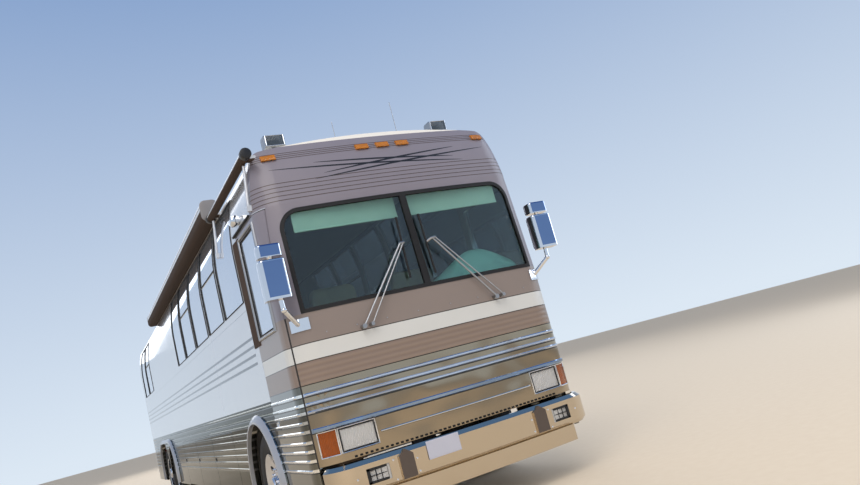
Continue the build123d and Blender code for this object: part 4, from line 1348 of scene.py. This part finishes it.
# Rear and roof: lamp bezels, a screen behind the engine grille, bolts, louvres on the roof units

tailPlan = {"x": 0.980, "half": (0.080, 0.065), "z": [0.925, 1.075, 1.225]}
screenPlan = {"low": (-0.58, 6.716, 0.785), "high": (0.58, 6.719, 1.345)}
rearBolts = {"x": [-1.05, -0.62, 0.62, 1.05], "y": 6.855, "z": 0.56, "proud": 0.0045, "radius": 0.014}
louvrePlan = {
    "x": 0.338,
    "units": [behind(4.6), behind(8.2), behind(11.6)],
    "foot": 3.50,
    "pitch": 0.018,
    "count": 7,
    "slot": ((-0.004, -0.30, 0), (0.004, 0.30, 0.008)),
}


def makeRear():
    (wide, high), x = tailPlan["half"], tailPlan["x"]
    bezel = lampFrame(1, (-wide, wide), (-high, high), lambda across: 0, bezelPlan["chromeRadius"])
    bezels = setOut(bezel, [(side * x, shell["tailY"], z) for side in (-1, 1) for z in tailPlan["z"]])
    finishPiece(bezels, "tail_bezels", "coach", "chrome", "chrome")
    screen = softBlock(screenPlan["low"], screenPlan["high"], 0.001, 1)
    finishPiece([screen], "engine_screen", "engine_door", "bezelBlack", "black_rubber")
    bolt = roundBar((0, 0, 0), (0, rearBolts["proud"], 0), rearBolts["radius"], 16, 0.002)
    heads = setOut(bolt, [(x, rearBolts["y"], rearBolts["z"]) for x in rearBolts["x"]])
    finishPiece(heads, "rear_bolts", "coach", "chrome", "chrome")
    # the louvre slots are near-black blocks of painted shade
    slots = setOut(softBlock(*louvrePlan["slot"], 0.002, 1), [
        (side * louvrePlan["x"], y, louvrePlan["foot"] + number * louvrePlan["pitch"])
        for y in louvrePlan["units"] for number in range(louvrePlan["count"]) for side in (-1, 1)])
    finishPiece(slots, "unit_louvres", "coach", "paintedHollowShade", "black_rubber")


makeRear()
print("rear and roof dressed")


# Wheels: nuts round every hub

wheelPlan = {
    "nuts": 10,
    "circle": 0.1425,
    "nutRadius": 0.016,
    "nutLength": 0.024,
    # the rim that carries the nuts, the body that turns, and how far in from the rim's face they stand
    "hubs": [
        ("front_rim", "front_wheel", 0.065),
        ("drive_rims", "drive_wheels", 0.300),
        ("tag_rim", "tag_wheel", 0.195),
    ],
}


def makeNuts(side, rim, body, inset):
    low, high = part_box(rim)
    outer = (high.x if side > 0 else low.x) - side * inset
    circle, y, z = wheelPlan["circle"], (low.y + high.y) / 2, (low.z + high.z) / 2
    turns = [2 * math.pi * number / wheelPlan["nuts"] for number in range(wheelPlan["nuts"])]
    nut = roundBar((0, 0, 0), (side * wheelPlan["nutLength"], 0, 0), wheelPlan["nutRadius"], 6, 0.002)
    nuts = setOut(nut, [(outer, y + circle * math.cos(turn), z + circle * math.sin(turn)) for turn in turns])
    finishPiece(nuts, f"{body}_nuts", body, "chrome", "chrome")


for side, word in ((-1, "curb"), (1, "street")):
    for rim, body, inset in wheelPlan["hubs"]:
        makeNuts(side, f"{rim}_{word}", f"{body}_{word}", inset)
print("wheels fitted")


# Camera, floor and light

view = {
    "place": (-2.878, -12.295, 1.22),
    "right": (0.87127, -0.41888, -0.25580),
    "down": (-0.15283, 0.26374, -0.95241),
    "forward": (0.46641, 0.86889, 0.16577),
    "lens": 30.36,
    "sensor": 36,
    "reach": 300,
}
studio = {
    "floorRadius": 90,
    "floor": "e6d5be",
    "grit": "eedfca",
    "gritScale": 12.0,
    "horizon": "dce8f4",
    "zenith": "5f88c0",
    "zenithFrom": 0.7,
    "daylight": "eef2f8",
    "daylightStrength": 0.55,
    "lamps": {
        "keyLight": {
            "place": (-9, -19, 17), "target": (0, -5, 1.5), "size": 16, "power": 3000, "colour": "fff6ea"},
        "fillLight": {
            "place": (18, -8, 9), "target": (0, -4, 1.2), "size": 12, "power": 1100, "colour": "e6effc"},
        "tailLight": {
            "place": (4, 20, 13), "target": (0, 4, 1.5), "size": 18, "power": 1500, "colour": "ffffff"},
    },
}


def makeCamera():
    lens = bpy.data.cameras.new("photoCamera")
    lens.lens = view["lens"]
    lens.sensor_width = view["sensor"]
    lens.clip_end = view["reach"]
    camera = bpy.data.objects.new("photoCamera", lens)
    bpy.context.collection.objects.link(camera)
    right, down, forward = (Vector(view[key]) for key in ("right", "down", "forward"))
    turn = Matrix((right, -down, -forward)).transposed().to_4x4()
    camera.matrix_world = Matrix.Translation(view["place"]) @ turn
    bpy.context.scene.camera = camera


def makeFloor():
    # pale sanded concrete with a fine even grit
    deselectAll()
    bpy.ops.mesh.primitive_circle_add(vertices=96, radius=studio["floorRadius"], fill_type="NGON")
    floor = bpy.context.object
    floor.name = "studioFloor"
    material, tree, place = startMaterial("sandedConcrete", "ead9c2", roughness=0.7)
    grit = addNode(tree, "TexNoise", {"Vector": place, "Scale": studio["gritScale"], "Detail": 5.0})
    wireShader(tree, {"Base Color": layColours(tree, studio["floor"], [(grit, studio["grit"])])})
    floor.data.materials.append(material)


def makeWorld():
    # a graded sky for what is seen, mirrored or looked through, and an even pale light on everything
    world = bpy.data.worlds.new("paleStudio")
    bpy.context.scene.world = world
    world.use_nodes = True
    tree = world.node_tree
    tree.nodes.clear()
    place = addNode(tree, "TexCoord", output="Generated")
    up = addNode(tree, "SeparateXYZ", [place], "Z")
    fade = addNode(tree, "MapRange", [up, 0.0, studio["zenithFrom"], 0.0, 1.0])
    sky = layColours(tree, studio["horizon"], [(fade, studio["zenith"])])
    seen = addNode(tree, "Background", {"Color": sky, "Strength": 1.0})
    light = addNode(
        tree, "Background", {"Color": studio["daylight"], "Strength": studio["daylightStrength"]})
    path = addNode(tree, "LightPath", output=None)
    direct = joinMasks(tree, [path[f"Is {kind} Ray"] for kind in ("Camera", "Glossy", "Transmission")])
    mixed = addNode(tree, "MixShader", [direct, light, seen])
    addNode(tree, "OutputWorld", {"Surface": mixed}, None)


def makeLamp(name, place, target, size, power, colour):
    light = bpy.data.lights.new(name, "AREA")
    light.size = size
    light.energy = power
    light.color = linearColour(colour)[:3]
    lamp = bpy.data.objects.new(name, light)
    bpy.context.collection.objects.link(lamp)
    lamp.location = place
    lamp.rotation_euler = (Vector(target) - Vector(place)).to_track_quat("-Z", "Y").to_euler()


makeCamera()
makeFloor()
makeWorld()
for name, plan in studio["lamps"].items():
    makeLamp(name, **plan)
bpy.context.scene.view_settings.view_transform = "Standard"
print("camera, floor and light set")
